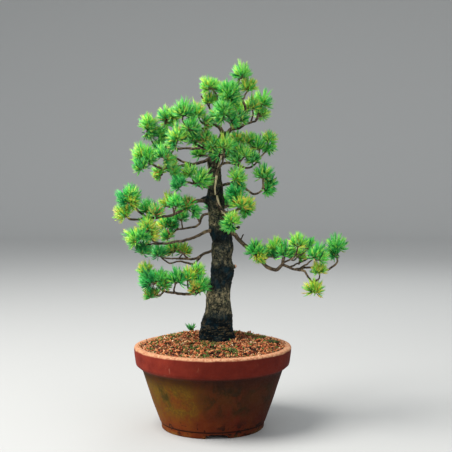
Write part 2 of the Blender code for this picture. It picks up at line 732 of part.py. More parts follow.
def build_soil(keep_out):
    """The block of soil, from the pot's floor to the underside of the mulch."""
    edge = SOIL_RADIUS - MULCH_TAPER - 1 * MM
    steps = [edge * (1 - i / MULCH_RINGS) for i in range(MULCH_RINGS + 1)]
    profile = [(radius, ground(radius) - MULCH_DEPTH) for radius in steps]
    profile += [(0, FLOOR_HEIGHT + GAP)]
    flat = math.cos(math.pi / POT_SEGMENTS)  # the pot's many sides lie a little inside its corners
    wall = pot_inside()[2:]
    profile += [(radius * flat - GAP, height + GAP) for radius, height in reversed(wall)]
    earth = make_material("damp_soil", (0.055, 0.033, 0.022), 0.95)
    soil = new_object("soil", turned(profile, SOIL_SEGMENTS), earth, sharp=50)
    side = MESH_SIDE + 2 * GAP
    plate = block((side, side, 2 * (MESH_THICKNESS + 2 * GAP)), (0, 0, FLOOR_HEIGHT))
    combine(soil, plate, "DIFFERENCE")
    combine(soil, keep_out, "DIFFERENCE")
    return soil


def build_mulch(keep_out):
    """The loose blanket of bark chips, pumice and clay grains that covers the soil."""
    grains = random.Random(5)
    shape = bmesh.new()
    layers = []
    for depth, taper, bump in ((0, 0, MULCH_BUMP), (MULCH_DEPTH - GAP, MULCH_TAPER, 0)):
        layer = []
        for i in range(MULCH_RINGS + 1):
            radius = (SOIL_RADIUS - 1 * MM - taper) * i / MULCH_RINGS
            uneven = bump if 0 < i < MULCH_RINGS else 0
            ring = []
            for k in range(SOIL_SEGMENTS if i else 1):
                turn = 2 * math.pi * (k + 0.5 * (i % 2)) / SOIL_SEGMENTS
                height = ground(radius) - depth + grains.uniform(-uneven, uneven)
                place = (radius * math.cos(turn), radius * math.sin(turn), height)
                ring.append(shape.verts.new(place))
            layer.append(ring)
        for inner, outer in zip(layer, layer[1:]):
            for k in range(SOIL_SEGMENTS):
                j = (k + 1) % SOIL_SEGMENTS
                corners = (inner[k % len(inner)], outer[k], outer[j], inner[j % len(inner)])
                shape.faces.new(list(dict.fromkeys(corners)))
        layers.append(layer)
    top, bottom = (layer[-1] for layer in layers)
    for k in range(SOIL_SEGMENTS):
        j = (k + 1) % SOIL_SEGMENTS
        shape.faces.new((top[k], bottom[k], bottom[j], top[j]))
    mulch = new_object("bark_mulch", shape, make_material("bark_chips", (0.36, 0.15, 0.075), 0.9))
    for cutter in keep_out:
        combine(mulch, cutter, "DIFFERENCE")
    return mulch


def moss_lump(grow=0.0):
    """A cushion of moss, sunk a little way into the mulch."""
    x, y = (place * MM for place in MOSS_PLACE)
    shape = bmesh.new()
    bmesh.ops.create_icosphere(shape, subdivisions=2, radius=1)
    for vertex in shape.verts:
        vertex.co *= 1 + 0.12 * noise.noise(vertex.co * 2.3)
    size = [side * MM + grow for side in MOSS_SIZE]
    bmesh.ops.scale(shape, vec=size, verts=shape.verts)
    bmesh.ops.translate(shape, vec=(x, y, ground(math.hypot(x, y)) + 0.5 * MM), verts=shape.verts)
    return shape


def weed_sprig(grow=0.0):
    """The root crown and the blades of a small weed, as separate shapes that overlap."""
    x, y = (place * MM for place in WEED_PLACE)
    foot = Vector((x, y, ground(math.hypot(x, y))))
    up = Vector((0, 0, 1))
    crown = tube([foot - up * 3 * MM, foot + up * 2.5 * MM], [WEED_CROWN * MM + grow] * 2, 6)
    radii = [radius * MM + grow for radius in (1.5, 2.2, 0.7)]
    blades = []
    for turn, lean, length in WEED_BLADES:
        out = Vector((math.cos(math.radians(turn)), math.sin(math.radians(turn)), 0)) * lean
        middle = foot + (out * 0.4 + up * 0.7) * length * MM
        tip = foot + (out + up * 0.9) * length * MM
        blades.append(tube([foot + up * 1 * MM, middle, tip], radii, 4))
    return [crown, *blades]


def root_swell(point, out):
    """Surface roots swell the foot of the trunk, and fade out up the trunk."""
    fade = max(0.0, min(1.0, (ROOT_TOP - point.z) / ROOT_FADE))
    turn = math.atan2(out.y, out.x)
    folds = math.cos(5 * turn + 0.6) * 0.6 + math.cos(3 * turn - 1.1) * 0.4
    return 1 + ROOT_SPREAD * fade * folds


def trunk_tube(grow=0.0):
    points = [Vector(place[:3]) * MM for place in TRUNK]
    route = smooth_route(points, 1)
    radii = [place[3] * MM + grow for place in TRUNK]
    return tube(route, radii, TRUNK_SIDES, root_swell)


def build_wood():
    """The trunk and every limb. Each limb stops a hair short of the trunk and of the limbs before
    it, as if it had been cut at its collar."""
    bark = make_material("flaky_bark", (0.10, 0.075, 0.055), 0.9)
    young = make_material("limb_bark", (0.13, 0.085, 0.055), 0.85)
    trunk = new_object("trunk", trunk_tube(), bark, sharp=40)
    for plan in TRUNK_STUBS:
        combine(trunk, stem(plan), "UNION")
    pieces = [trunk]
    earlier = list(TRUNK_STUBS)
    for name, stems in LIMBS.items():
        limb = new_object(name, stem(stems[0]), young, sharp=50)
        for plan in stems[1:]:
            combine(limb, stem(plan), "UNION")
        combine(limb, trunk_tube(GAP), "DIFFERENCE")
        for plan in earlier:
            if boxes_meet(stem_box(plan), box_of([v.co for v in limb.data.vertices])):
                combine(limb, stem(plan, GAP), "DIFFERENCE")
        keep_main_body(limb)
        earlier += stems
        pieces.append(limb)
    return pieces


def inner_needles(here, there, thickness, grow=0.0):
    """The needles along the twig that joins two tufts which hardly meet."""
    return tube([here * MM, there * MM], [thickness * MM + grow] * 2, 3)


def pad_shapes(limb, tufts):
    """Makers of the solids that make up a pad, each with the box that it lies in."""
    shapes = []
    for i, (tuft, way) in enumerate(zip(tufts, brush_ways(limb, tufts))):
        here = Vector(tuft[:3])
        shapes.append((partial(brush, tuft, way), box_of([here * MM], grow=(1.05 * tuft[3] + 1) * MM)))
        if not i:
            continue
        near = min(tufts[:i], key=lambda other: (Vector(other[:3]) - here).length)
        there = Vector(near[:3])
        if (there - here).length > LINK_SHARE * (tuft[3] + near[3]):
            thickness = LINK_THICKNESS * min(tuft[3], near[3])
            box = box_of([here * MM, there * MM], grow=(thickness + 1) * MM)
            shapes.append((partial(inner_needles, here, there, thickness), box))
    return shapes


def build_needles():
    """The pads of needles. Each pad gives way to the wood and to the pads made before it."""
    trunk_box = box_of([Vector(place[:3]) * MM for place in TRUNK], grow=14 * MM)
    taken = [(trunk_tube, trunk_box)]
    taken += [(partial(stem, plan), stem_box(plan)) for plan in TRUNK_STUBS]
    taken += [(partial(stem, plan), stem_box(plan)) for stems in LIMBS.values() for plan in stems]
    greens = {tone: make_material("needles_" + tone, colour, 0.6) for tone, colour in TONES.items()}
    pads = []
    for name, (limb, tufts) in PADS.items():
        (first, _), *others = shapes = pad_shapes(LIMBS[limb], tufts)
        pad = new_object(name, first(), greens[tufts[0][4]])
        for make, _ in others:
            combine(pad, make(), "UNION")
        near = box_of([v.co for v in pad.data.vertices], grow=MM)
        for make, box in taken:
            if boxes_meet(near, box):
                combine(pad, make(grow=GAP), "DIFFERENCE")
        taken += shapes
        keep_main_body(pad)
        pads.append(pad)
    return pads


def settle(objects):
    """Moves the whole object so that the origin is the middle of the foot of its box."""
    low, high = box_of([v.co for obj in objects for v in obj.data.vertices])
    frame = bpy.data.objects.new("frame", None)
    bpy.context.scene.collection.objects.link(frame)
    for obj in objects:
        obj.parent = frame
    frame.location = (-(low[0] + high[0]) / 2, -(low[1] + high[1]) / 2, -low[2])


def build_weed():
    crown, *blades = weed_sprig()
    weed = new_object("back_weed", crown, make_material("weed_leaf", (0.03, 0.13, 0.03), 0.6))
    for blade in blades:
        combine(weed, blade, "UNION")
    return weed


def main():
    clear_scene()
    pieces = [build_pot(), build_drain_mesh(), build_soil(trunk_tube(GAP))]
    pieces.append(build_mulch([trunk_tube(GAP), moss_lump(GAP), *weed_sprig(GAP)]))
    pieces.append(new_object("moss_patch", moss_lump(), make_material("moss", (0.055, 0.12, 0.02), 0.95)))
    pieces.append(build_weed())
    pieces += build_wood() + build_needles()
    settle(pieces)


main()
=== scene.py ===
"""The looks of a white pine bonsai in a round clay pot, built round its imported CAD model.

The wood, the needles, the pot and the mulch are rebuilt as fine geometry in the places that the CAD
gives them. The plan of the tree is the CAD's own, in millimetres from the pot's axis.
"""

import math

import bmesh
import bpy
import numpy as np
from mathutils import Matrix, Vector, noise


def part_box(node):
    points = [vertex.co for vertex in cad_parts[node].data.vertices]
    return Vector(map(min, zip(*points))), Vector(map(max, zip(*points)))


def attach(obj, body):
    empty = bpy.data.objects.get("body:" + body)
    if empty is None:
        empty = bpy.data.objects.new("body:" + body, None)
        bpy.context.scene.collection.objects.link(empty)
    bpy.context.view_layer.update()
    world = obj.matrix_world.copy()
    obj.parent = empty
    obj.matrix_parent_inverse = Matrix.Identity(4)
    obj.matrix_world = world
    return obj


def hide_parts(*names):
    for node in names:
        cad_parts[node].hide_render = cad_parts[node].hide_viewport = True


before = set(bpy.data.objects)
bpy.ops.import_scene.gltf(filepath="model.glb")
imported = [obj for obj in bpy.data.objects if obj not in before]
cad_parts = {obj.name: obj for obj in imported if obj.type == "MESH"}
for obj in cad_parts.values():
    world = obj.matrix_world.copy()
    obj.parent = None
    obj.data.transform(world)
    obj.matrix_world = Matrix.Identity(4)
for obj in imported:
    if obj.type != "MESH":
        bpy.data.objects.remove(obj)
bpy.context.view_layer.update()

MM = 0.001
POT_LOW, POT_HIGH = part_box("pot")
AXIS = Vector(((POT_LOW.x + POT_HIGH.x) / 2, (POT_LOW.y + POT_HIGH.y) / 2, POT_LOW.z))
UV_NAME = "OFBake"
noise.seed_set(7)  # or Blender's vector noise differs from run to run

# The planting's surface, as in the CAD.
SOIL_EDGE_HEIGHT = 162.5 * MM
SOIL_DOME = 19 * MM
SOIL_FLATNESS = 3
SOIL_RADIUS = 143 * MM
SPILL_RADIUS = 150 * MM  # chips lie on the lip too
FRONT_HOLLOW = 6 * MM  # the mulch is scraped away in front of the trunk

# How finely each piece is drawn.
TRUNK_RINGS = 18
TRUNK_SIDES = 160
POT_SIDES = 300
NEEDLE_BUNDLES = 34  # on a tuft of middling size
BUNDLE = 5  # needles that leave one sheath
NEEDLE_STEPS = 2
CROWN_FOOT = 0.5  # needles above this height take paler tones: painted light for the sunlit crown
SIDE_TUFTS = 3  # smaller tufts round each one
LIMB_GIRTH = 0.9  # the bark's hollows sink under the CAD's smooth stems
TAPER = 1.5  # a stem thins fast near its foot, as in the CAD
CHIPS = 4200
CHIP_CORNERS = 5
MOSS_CRUMBS = 420
MOSS_LEAVES = 1300
GOLDEN_TURN = 2.39996  # radians between one bundle of needles and the next

# The pot's marks: heights over the table, and the drainage notches in its foot.
GROOVE_HEIGHT = 12.5 * MM
RIM_FOOT_HEIGHTS = (121.5 * MM, 128.5 * MM)
LIME_HEIGHTS = (160.3 * MM, 163.2 * MM)
NOTCH_WIDTH = 44 * MM
NOTCH_HEIGHT = 8.5 * MM
NOTCH_TURNS = (-84, 36, 156)  # degrees round the pot
FOOT_RADIUS = 104 * MM
ROOT_TOP = 215  # the root flare fades out at this height, in millimetres

# The studio.
KEY_POWER = 165
FILL_POWER = 16
BACK_POWER = 22
WORLD_STRENGTH = 1.0
CAMERA_PLACE = (0.027, -1.85, 0.497)  # from the foot of the pot's axis
CAMERA_PITCH = 1.9
CAMERA_SHIFT = -0.03
CAMERA_LENS = 72.56
LIGHTS_AIM = (0, 0, 0.35)

# The trunk, from the roots to the fork under the crown: (x, y, z, radius).
TRUNK = (
    (10, 0, 128, 30), (9, 0, 150, 40), (8, 0, 172, 38.5), (7, 0, 192, 35.5), (10, 0, 216, 30.5),
    (12, 1, 240, 25.5), (12, 3, 276, 24), (17, 4, 298, 22), (20, 4, 317, 24), (19, 4, 340, 20.8),
    (20, 4, 360, 22.4), (18, 3, 382, 21.2), (15, 2, 400, 22), (10, 1, 420, 18.6),
    (7, 0, 442, 17), (6, 0, 462, 17.4), (5, 0, 482, 15.4), (4, 0, 502, 13.4), (4, 0, 522, 12.2),
    (3, -1, 542, 11.6), (10, -2, 562, 10.4), (20, -4, 582, 9.2), (26, -5, 596, 8),
)

# What stands out of the trunk, as (radius, tip radius, route): the sawn stub, then the knobs where
# limbs were shed, then a broken stub and two shoots.
SAWN_STUB = (13, 4, ((20, -1, 320), (34, -6, 324), (45, -9, 327)))
SMALL_STUBS = (
    (10, 6, ((-6, -4, 461), (-16, -8, 462), (-22, -10, 463))),
    (11, 6, ((-2, -10, 288), (-8, -20, 288), (-11, -26, 289))),
    (12, 7, ((8, -8, 330), (10, -18, 331), (12, -24, 331))),
    (9, 5, ((4, -6, 548), (0, -14, 549), (-3, -18, 550))),
    (10, 6, ((14, -4, 388), (24, -10, 389), (29, -13, 390))),
    (5, 3, ((22, 0, 400), (42, -8, 402), (54, -12, 407))),
    (3.6, 2.0, ((2, -3, 558), (-12, -12, 564), (-28, -29, 570), (-46, -46, 586))),
    (2.2, 1.5, ((-20, -20, 566), (-14, -32, 578))),
)
# The strip of bare dead wood down the trunk's front, and the pale old branches beside it.
DEAD_STEMS = (
    (2.6, 1.4, ((9, -13.5, 513), (6.5, -16.5, 500), (5, -18, 487), (5, -18.5, 472))),
    (2.0, 1.6, ((9, -14, 512), (12, -15, 530), (17, -15, 548), (21, -14, 566))),
    (2.3, 1.7, ((9, -15, 470), (12, -19, 457), (17, -22, 443), (23, -24, 435), (37, -26, 438),
        (52, -28, 441))),
    (1.6, 1.2, ((22, -23, 436), (28, -25, 427), (33, -26, 417))),
)

# Every stem of a limb is (radius at its base, radius at its tip, route).
LIMBS = {
    "crown_left_limb": (
        (6.6, 1.6, ((22, -7, 588), (14, -14, 608), (0, -20, 614), (-2, -23, 632), (-6, -29, 646),
            (-22, -38, 668))),
        (3.0, 1.8, ((-2, -19, 610), (-24, -35, 602), (-44, -49, 598), (-52, -58, 606),
            (-58, -65, 620))),
        (2.2, 1.5, ((-24, -35, 602), (-30, -38, 590))),
        (2.3, 1.5, ((-8, -29, 606), (-20, -44, 614), (-30, -52, 630))),
        (2.0, 1.5, ((-44, -49, 598), (-48, -61, 606), (-44, -70, 608))),
        (2.4, 1.6, ((0, -22, 618), (10, -35, 644), (10, -41, 666), (-2, -41, 686))),
        (2.0, 1.5, ((-6, -29, 644), (-6, -29, 658))),
    ),
    "crown_right_limb": (
        (5.9, 2.2, ((24, -7, 590), (38, -4, 604), (56, 0, 608), (68, 9, 616), (88, 20, 622),
            (94, 26, 638))),
        (2.3, 1.6, ((78, 16, 620), (82, 14, 640), (80, 9, 650))),
        (2.2, 1.6, ((88, 20, 624), (96, 29, 646), (100, 29, 660))),
        (3.8, 2.2, ((54, 0, 610), (56, -6, 624), (66, -13, 644), (60, -17, 660), (52, -20, 678),
            (52, -23, 696), (58, -29, 712))),
        (2.3, 1.6, ((56, -6, 620), (48, 3, 642), (36, 12, 662))),
        (2.4, 1.6, ((56, -6, 620), (38, -26, 626), (26, -44, 638))),
        (2.2, 1.6, ((62, -17, 664), (72, -16, 684))),
        (2.0, 1.5, ((54, -20, 672), (34, -38, 674))),
        (3.4, 2.0, ((38, -4, 604), (38, 32, 624), (38, 64, 644))),
        (2.2, 1.6, ((36, 17, 616), (16, 55, 636))),
        (2.2, 1.6, ((38, 35, 626), (58, 64, 642))),
    ),
    "upper_left_limb": (
        (4.7, 2.4, ((0, -3, 548), (-20, -13, 538), (-46, -23, 532), (-74, -36, 528),
            (-98, -44, 524), (-124, -41, 536), (-138, -38, 552))),
        (2.9, 2.0, ((-42, -22, 534), (-64, -36, 540), (-80, -55, 552), (-72, -65, 566),
            (-68, -68, 584))),
        (2.2, 1.5, ((-90, -41, 528), (-92, -55, 542), (-96, -61, 552))),
        (2.0, 1.5, ((-120, -41, 534), (-138, -49, 534))),
    ),
    "upper_left_back_limb": (
        (3.8, 2.4, ((2, 7, 558), (-20, 17, 566), (-48, 23, 566), (-80, 26, 568), (-92, 32, 584),
            (-100, 38, 606), (-96, 41, 632))),
        (2.4, 1.6, ((-82, 26, 568), (-112, 17, 568), (-126, 12, 584), (-128, 6, 608))),
        (2.0, 1.5, ((-98, 33, 592), (-114, 26, 600))),
        (2.0, 1.5, ((-104, 20, 568), (-108, 14, 572))),
    ),
    "shoulder_left_branch": (
        (4.1, 2.0, ((0, 0, 488), (-20, -12, 488), (-44, -29, 496), (-72, -44, 502),
            (-84, -46, 520))),
        (2.3, 1.5, ((-36, -23, 494), (-42, -29, 510))),
        (2.2, 1.5, ((-56, -36, 498), (-62, -55, 496))),
    ),
    "shoulder_left_back_branch": (
        (3.3, 1.8, ((0, 6, 516), (-32, 17, 518), (-64, 26, 512), (-84, 29, 522),
            (-108, 32, 522))),
        (2.0, 1.5, ((-60, 25, 514), (-72, 17, 518))),
    ),
    "second_left_branch": (
        (5.5, 2.4, ((0, 0, 464), (-20, -14, 460), (-36, -29, 458), (-54, -46, 444),
            (-80, -58, 432), (-106, -62, 428), (-134, -65, 426), (-160, -65, 424),
            (-168, -67, 436))),
        (2.6, 1.7, ((-128, -65, 428), (-144, -72, 440), (-150, -78, 456), (-158, -81, 468))),
        (2.2, 1.5, ((-126, -65, 428), (-130, -52, 444))),
        (2.3, 1.6, ((-76, -55, 432), (-78, -44, 446), (-86, -36, 456))),
        (2.2, 1.6, ((-76, -55, 432), (-70, -72, 452))),
        (2.2, 1.6, ((-40, -33, 454), (-50, -46, 456))),
        (2.0, 1.6, ((-106, -62, 428), (-110, -75, 438))),
    ),
    "third_left_back_branch": (
        (3.9, 2.0, ((4, 3, 434), (-20, 12, 430), (-32, 19, 408), (-68, 29, 400), (-84, 32, 394),
            (-92, 32, 390))),
        (2.2, 1.6, ((-62, 28, 402), (-66, 17, 422))),
        (2.2, 1.6, ((-68, 29, 400), (-84, 41, 406), (-100, 44, 410))),
        (2.3, 1.8, ((-28, 16, 416), (-34, 20, 426))),
    ),
    "third_left_branch": (
        (4.8, 2.2, ((6, 0, 402), (-16, -17, 396), (-40, -44, 386), (-72, -65, 380),
            (-102, -80, 378), (-118, -84, 388), (-124, -84, 406))),
        (2.3, 1.6, ((-114, -83, 384), (-138, -90, 390))),
        (2.3, 1.6, ((-98, -78, 378), (-120, -70, 376), (-136, -67, 374))),
    ),
    "fourth_left_branch": (
        (4.7, 2.0, ((10, 3, 360), (-14, 12, 352), (-36, 26, 340), (-68, 39, 338),
            (-104, 49, 340), (-136, 55, 354))),
        (2.9, 1.8, ((-24, 19, 346), (-40, 9, 330), (-66, 0, 336), (-90, -4, 334),
            (-108, -9, 348))),
        (2.2, 1.5, ((-70, 39, 338), (-64, 52, 350))),
        (2.4, 1.6, ((-52, 33, 340), (-66, 20, 354), (-82, 12, 366))),
    ),
    "lowest_left_branch": (
        (5.0, 2.4, ((12, 0, 294), (-10, -26, 284), (-44, -55, 276), (-74, -70, 280),
            (-98, -75, 286), (-112, -80, 306))),
        (2.4, 1.7, ((-74, -70, 280), (-74, -75, 292), (-70, -81, 308))),
        (2.3, 1.6, ((-94, -75, 284), (-106, -70, 274), (-118, -65, 276))),
        (2.8, 1.8, ((-32, -46, 280), (-26, -64, 296))),
        (2.2, 1.6, ((-40, -52, 276), (-48, -75, 296), (-46, -70, 312))),
        (2.0, 1.5, ((-102, -75, 288), (-100, -81, 306))),
    ),
    "long_right_branch": (
        (5.9, 3.7, ((16, 3, 398), (36, -4, 398), (56, -14, 378), (80, -26, 356), (104, -32, 332),
            (124, -35, 322), (138, -36, 330), (142, -38, 346))),
        (2.3, 1.6, ((88, -29, 348), (88, -38, 362))),
        (2.4, 1.6, ((98, -32, 338), (118, -20, 348))),
        (2.3, 1.6, ((144, -38, 338), (162, -52, 350), (168, -61, 370))),
        (2.0, 1.5, ((56, -14, 382), (62, -23, 392))),
    ),
    "long_right_branch_end": (
        (3.4, 2.4, ((146, -36, 330), (162, -41, 324), (182, -44, 320), (192, -48, 306),
            (202, -52, 296))),
        (2.9, 2.2, ((166, -41, 324), (186, -29, 326), (212, -17, 324), (234, -6, 320),
            (252, 0, 334), (254, 3, 356))),
        (2.3, 1.6, ((176, -36, 326), (188, -52, 336), (204, -65, 352))),
        (2.3, 1.6, ((154, -39, 328), (172, -20, 334), (192, -6, 342), (194, 0, 352))),
        (2.2, 1.6, ((198, -49, 300), (212, -44, 306), (212, -44, 320))),
        (2.0, 1.5, ((174, -19, 332), (178, -9, 344))),
    ),
    "middle_right_branch": (
        (3.8, 2.0, ((6, -3, 466), (12, -23, 450), (28, -35, 438), (50, -44, 444),
            (56, -45, 456))),
        (2.3, 1.6, ((26, -33, 438), (30, -41, 424), (36, -46, 422))),
        (2.0, 1.5, ((50, -44, 444), (66, -35, 448))),
    ),
    "upper_right_branch": (
        (3.9, 2.2, ((8, -3, 496), (10, -20, 520), (20, -29, 536), (24, -38, 562))),
        (3.4, 2.0, ((18, -28, 534), (38, -17, 536), (70, 0, 526), (92, 13, 540), (96, 17, 564))),
        (2.2, 1.5, ((96, 14, 546), (108, 23, 560), (114, 26, 582))),
        (2.2, 1.5, ((52, -10, 532), (62, -20, 546))),
        (2.0, 1.5, ((80, 6, 530), (80, -6, 546))),
    ),
    "shoulder_right_branch": (
        (3.9, 2.2, ((4, 0, 486), (34, -9, 494), (58, -14, 490), (82, -17, 474), (100, -12, 482),
            (102, -7, 508))),
        (2.2, 1.5, ((100, -12, 484), (110, -6, 490))),
        (2.3, 1.6, ((38, -9, 494), (42, -29, 504))),
        (2.0, 1.5, ((56, -14, 490), (46, -35, 480))),
    ),
    "middle_back_branch": (
        (4.3, 2.2, ((8, 4, 424), (14, 44, 436), (24, 81, 448))),
        (2.3, 1.6, ((12, 33, 432), (-2, 68, 446))),
        (2.2, 1.6, ((18, 61, 440), (42, 77, 452))),
    ),
    "upper_back_branch": (
        (4.1, 2.2, ((4, 2, 530), (0, 37, 544), (-4, 73, 560))),
        (2.3, 1.6, ((2, 24, 538), (22, 59, 550))),
        (2.2, 1.6, ((-2, 48, 550), (-26, 64, 554))),
    ),
}

# The pads of needles: the limb that bears the pad, and its tufts as (x, y, z, half size, tone).
PADS = {
    "apex_needles": ("crown_right_limb", (
        (60, -29, 720, 19, "m"),
        (70, -17, 694, 17, "y"),
        (42, -41, 686, 15, "m"),
        (48, -32, 664, 15, "m"),
    )),
    "crown_front_needles": ("crown_right_limb", (
        (26, -52, 680, 19, "m"),
        (32, -52, 662, 18, "d"),
        (20, -61, 644, 18, "m"),
        (8, -49, 628, 16, "d"),
        (36, -35, 636, 15, "m"),
        (64, -29, 626, 13, "d"),
        (48, -35, 620, 14, "d"),
    )),
    "crown_left_top_needles": ("crown_left_limb", (
        (-12, -44, 692, 16, "b"),
        (8, -29, 690, 14, "b"),
        (-6, -32, 666, 15, "y"),
    )),
    "crown_right_needles": ("crown_right_limb", (
        (104, 29, 670, 20, "m"),
        (80, 6, 658, 17, "y"),
        (102, 38, 642, 16, "b"),
    )),
    "crown_left_needles": ("crown_left_limb", (
        (-56, -67, 642, 20, "m"),
        (-32, -55, 640, 17, "y"),
        (-38, -72, 612, 18, "m"),
        (-6, -52, 616, 13, "o"),
        (-30, -41, 586, 14, "d"),
    )),
    "upper_left_back_needles": ("upper_left_back_limb", (
        (-98, 41, 640, 17, "u"),
        (-78, 32, 640, 15, "b"),
        (-94, 49, 618, 16, "y"),
    )),
    "upper_left_mid_needles": ("upper_left_back_limb", (
        (-132, 6, 622, 17, "b"),
        (-122, 3, 598, 17, "d"),
        (-102, 23, 598, 16, "m"),
        (-108, 9, 576, 15, "d"),
    )),
    "upper_left_front_needles": ("upper_left_limb", (
        (-66, -68, 594, 20, "y"),
        (-80, -72, 574, 14, "d"),
    )),
    "far_left_needles": ("upper_left_limb", (
        (-144, -38, 558, 20, "b"),
        (-144, -52, 534, 16, "u"),
        (-120, -49, 550, 16, "m"),
        (-98, -64, 558, 16, "d"),
        (-82, -58, 542, 16, "o"),
    )),
    "left_hanging_needles": ("shoulder_left_back_branch", (
        (-116, 32, 518, 15, "r"),
        (-88, 17, 536, 14, "y"),
    )),
    "shoulder_left_needles": ("shoulder_left_branch", (
        (-72, -44, 520, 15, "m"),
        (-48, -32, 522, 16, "b"),
        (-70, -58, 498, 16, "u"),
    )),
    "trunk_front_needles": ("shoulder_left_branch", (
        (-16, -46, 506, 20, "m"),
    )),
    "upper_trunk_needles": ("upper_right_branch", (
        (24, -41, 578, 19, "b"),
        (4, -38, 558, 15, "d"),
        (-6, -46, 578, 16, "b"),
        (-18, -49, 590, 15, "o"),
        (-42, -61, 590, 15, "d"),
    )),
    "upper_right_front_needles": ("upper_right_branch", (
        (64, -20, 560, 16, "b"),
        (44, -20, 546, 14, "m"),
        (80, -12, 548, 15, "d"),
        (46, 3, 568, 17, "m"),
        (48, 6, 590, 15, "y"),
        (68, 12, 588, 15, "y"),
    )),
    "upper_right_needles": ("upper_right_branch", (
        (90, 17, 578, 19, "m"),
        (116, 26, 592, 15, "y"),
        (116, 26, 564, 15, "m"),
    )),
    "shoulder_right_front_needles": ("shoulder_right_branch", (
        (52, -32, 514, 19, "b"),
        (54, -23, 490, 14, "d"),
        (40, -41, 474, 18, "u"),
    )),
    "shoulder_right_needles": ("shoulder_right_branch", (
        (102, -6, 520, 19, "m"),
        (118, -3, 502, 14, "d"),
        (116, -6, 480, 14, "m"),
    )),
    "middle_right_needles": ("middle_right_branch", (
        (58, -45, 462, 19, "y"),
        (74, -32, 456, 15, "y"),
        (66, -38, 438, 14, "m"),
        (42, -49, 428, 15, "b"),
        (28, -49, 412, 15, "m"),
    )),
    "second_left_tip_needles": ("second_left_branch", (
        (-178, -70, 440, 17, "y"),
        (-174, -81, 468, 18, "u"),
        (-156, -75, 478, 17, "m"),
        (-150, -84, 458, 15, "y"),
    )),
    "second_left_middle_needles": ("second_left_branch", (
        (-130, -52, 450, 17, "m"),
        (-110, -75, 444, 16, "o"),
    )),
    "second_left_inner_needles": ("second_left_branch", (
        (-88, -36, 462, 18, "y"),
        (-70, -75, 462, 16, "m"),
        (-52, -55, 458, 15, "o"),
        (-30, -44, 440, 13, "m"),
    )),
    "third_left_back_needles": ("third_left_back_branch", (
        (-66, 17, 432, 16, "m"),
        (-82, 35, 416, 16, "d"),
        (-104, 46, 414, 16, "y"),
        (-98, 35, 390, 15, "o"),
    )),
    "third_left_needles": ("third_left_branch", (
        (-126, -84, 418, 17, "y"),
        (-112, -78, 398, 14, "y"),
        (-156, -90, 392, 19, "b"),
        (-132, -96, 398, 14, "m"),
        (-134, -67, 370, 16, "d"),
    )),
    "fourth_left_needles": ("fourth_left_branch", (
        (-110, -9, 360, 16, "u"),
        (-88, 12, 364, 16, "o"),
        (-60, 49, 360, 16, "y"),
        (-140, 55, 362, 14, "d"),
    )),
    "lowest_left_tip_needles": ("lowest_left_branch", (
        (-126, -80, 312, 21, "u"),
        (-134, -67, 328, 15, "y"),
        (-100, -84, 316, 16, "m"),
        (-90, -90, 300, 14, "o"),
        (-122, -65, 282, 15, "o"),
    )),
    "lowest_left_inner_needles": ("lowest_left_branch", (
        (-70, -81, 316, 19, "m"),
        (-48, -70, 318, 16, "y"),
        (-22, -70, 302, 20, "m"),
        (-36, -84, 294, 13, "r"),
        (-26, -61, 326, 15, "b"),
    )),
    "long_right_inner_needles": ("long_right_branch", (
        (86, -41, 368, 19, "m"),
        (98, -46, 348, 14, "y"),
        (118, -20, 360, 17, "d"),
        (128, -32, 374, 15, "b"),
        (146, -39, 364, 19, "m"),
    )),
    "long_right_middle_needles": ("long_right_branch", (
        (168, -62, 384, 17, "b"),
        (178, -12, 354, 15, "y"),
        (196, 0, 370, 17, "m"),
    )),
    "long_right_outer_needles": ("long_right_branch_end", (
        (210, -67, 360, 20, "m"),
        (210, -44, 328, 15, "y"),
    )),
    "long_right_low_needles": ("long_right_branch_end", (
        (202, -54, 292, 18, "y"),
    )),
    "long_right_tip_needles": ("long_right_branch_end", (
        (252, 3, 374, 20, "m"),
        (242, -9, 356, 14, "d"),
    )),
    "middle_back_needles": ("middle_back_branch", (
        (28, 88, 460, 19, "m"),
        (-4, 75, 456, 17, "d"),
        (48, 81, 464, 17, "y"),
    )),
    "upper_back_needles": ("upper_back_branch", (
        (-4, 79, 574, 19, "m"),
        (24, 68, 562, 17, "d"),
        (-30, 70, 564, 17, "m"),
    )),
    "crown_back_needles": ("crown_right_limb", (
        (38, 55, 656, 19, "m"),
        (12, 48, 644, 16, "d"),
        (62, 55, 652, 16, "y"),
    )),
}

# The cushion of moss: its place, then its half length, half width and height, in millimetres.
MOSS_PLACE = (118, -14)
MOSS_SIZE = (15, 10, 5)
WEED = (-48, 122, 24, 24)  # as one of the seedlings below

# Needle colours: four shades of each tone, as sRGB.
NEEDLE_SHADES = {
    "m": ("42bc54", "58d05e", "2c9e4a", "84dc68"),
    "d": ("1c9048", "2ca852", "106e3c", "44b65a"),
    "b": ("88dc58", "a8e860", "66cc56", "c6f074"),
    "y": ("c8dc50", "e6e45a", "a0d054", "e6d062"),
    "u": ("24a456", "3abc66", "168a4c", "62cc78"),
    "o": ("92b450", "b0be5c", "72a24c", "c4b860"),
    "r": ("c88454", "d49c66", "a86c42", "d0b06a"),
    "n": ("5cc470", "7cd480", "42ac62", "98e088"),
}
TONES = list(NEEDLE_SHADES)
SHADES = len(NEEDLE_SHADES["m"])
NEEDLE_BANDS = SHADES * len(TONES)  # the colours that V picks among for a needle
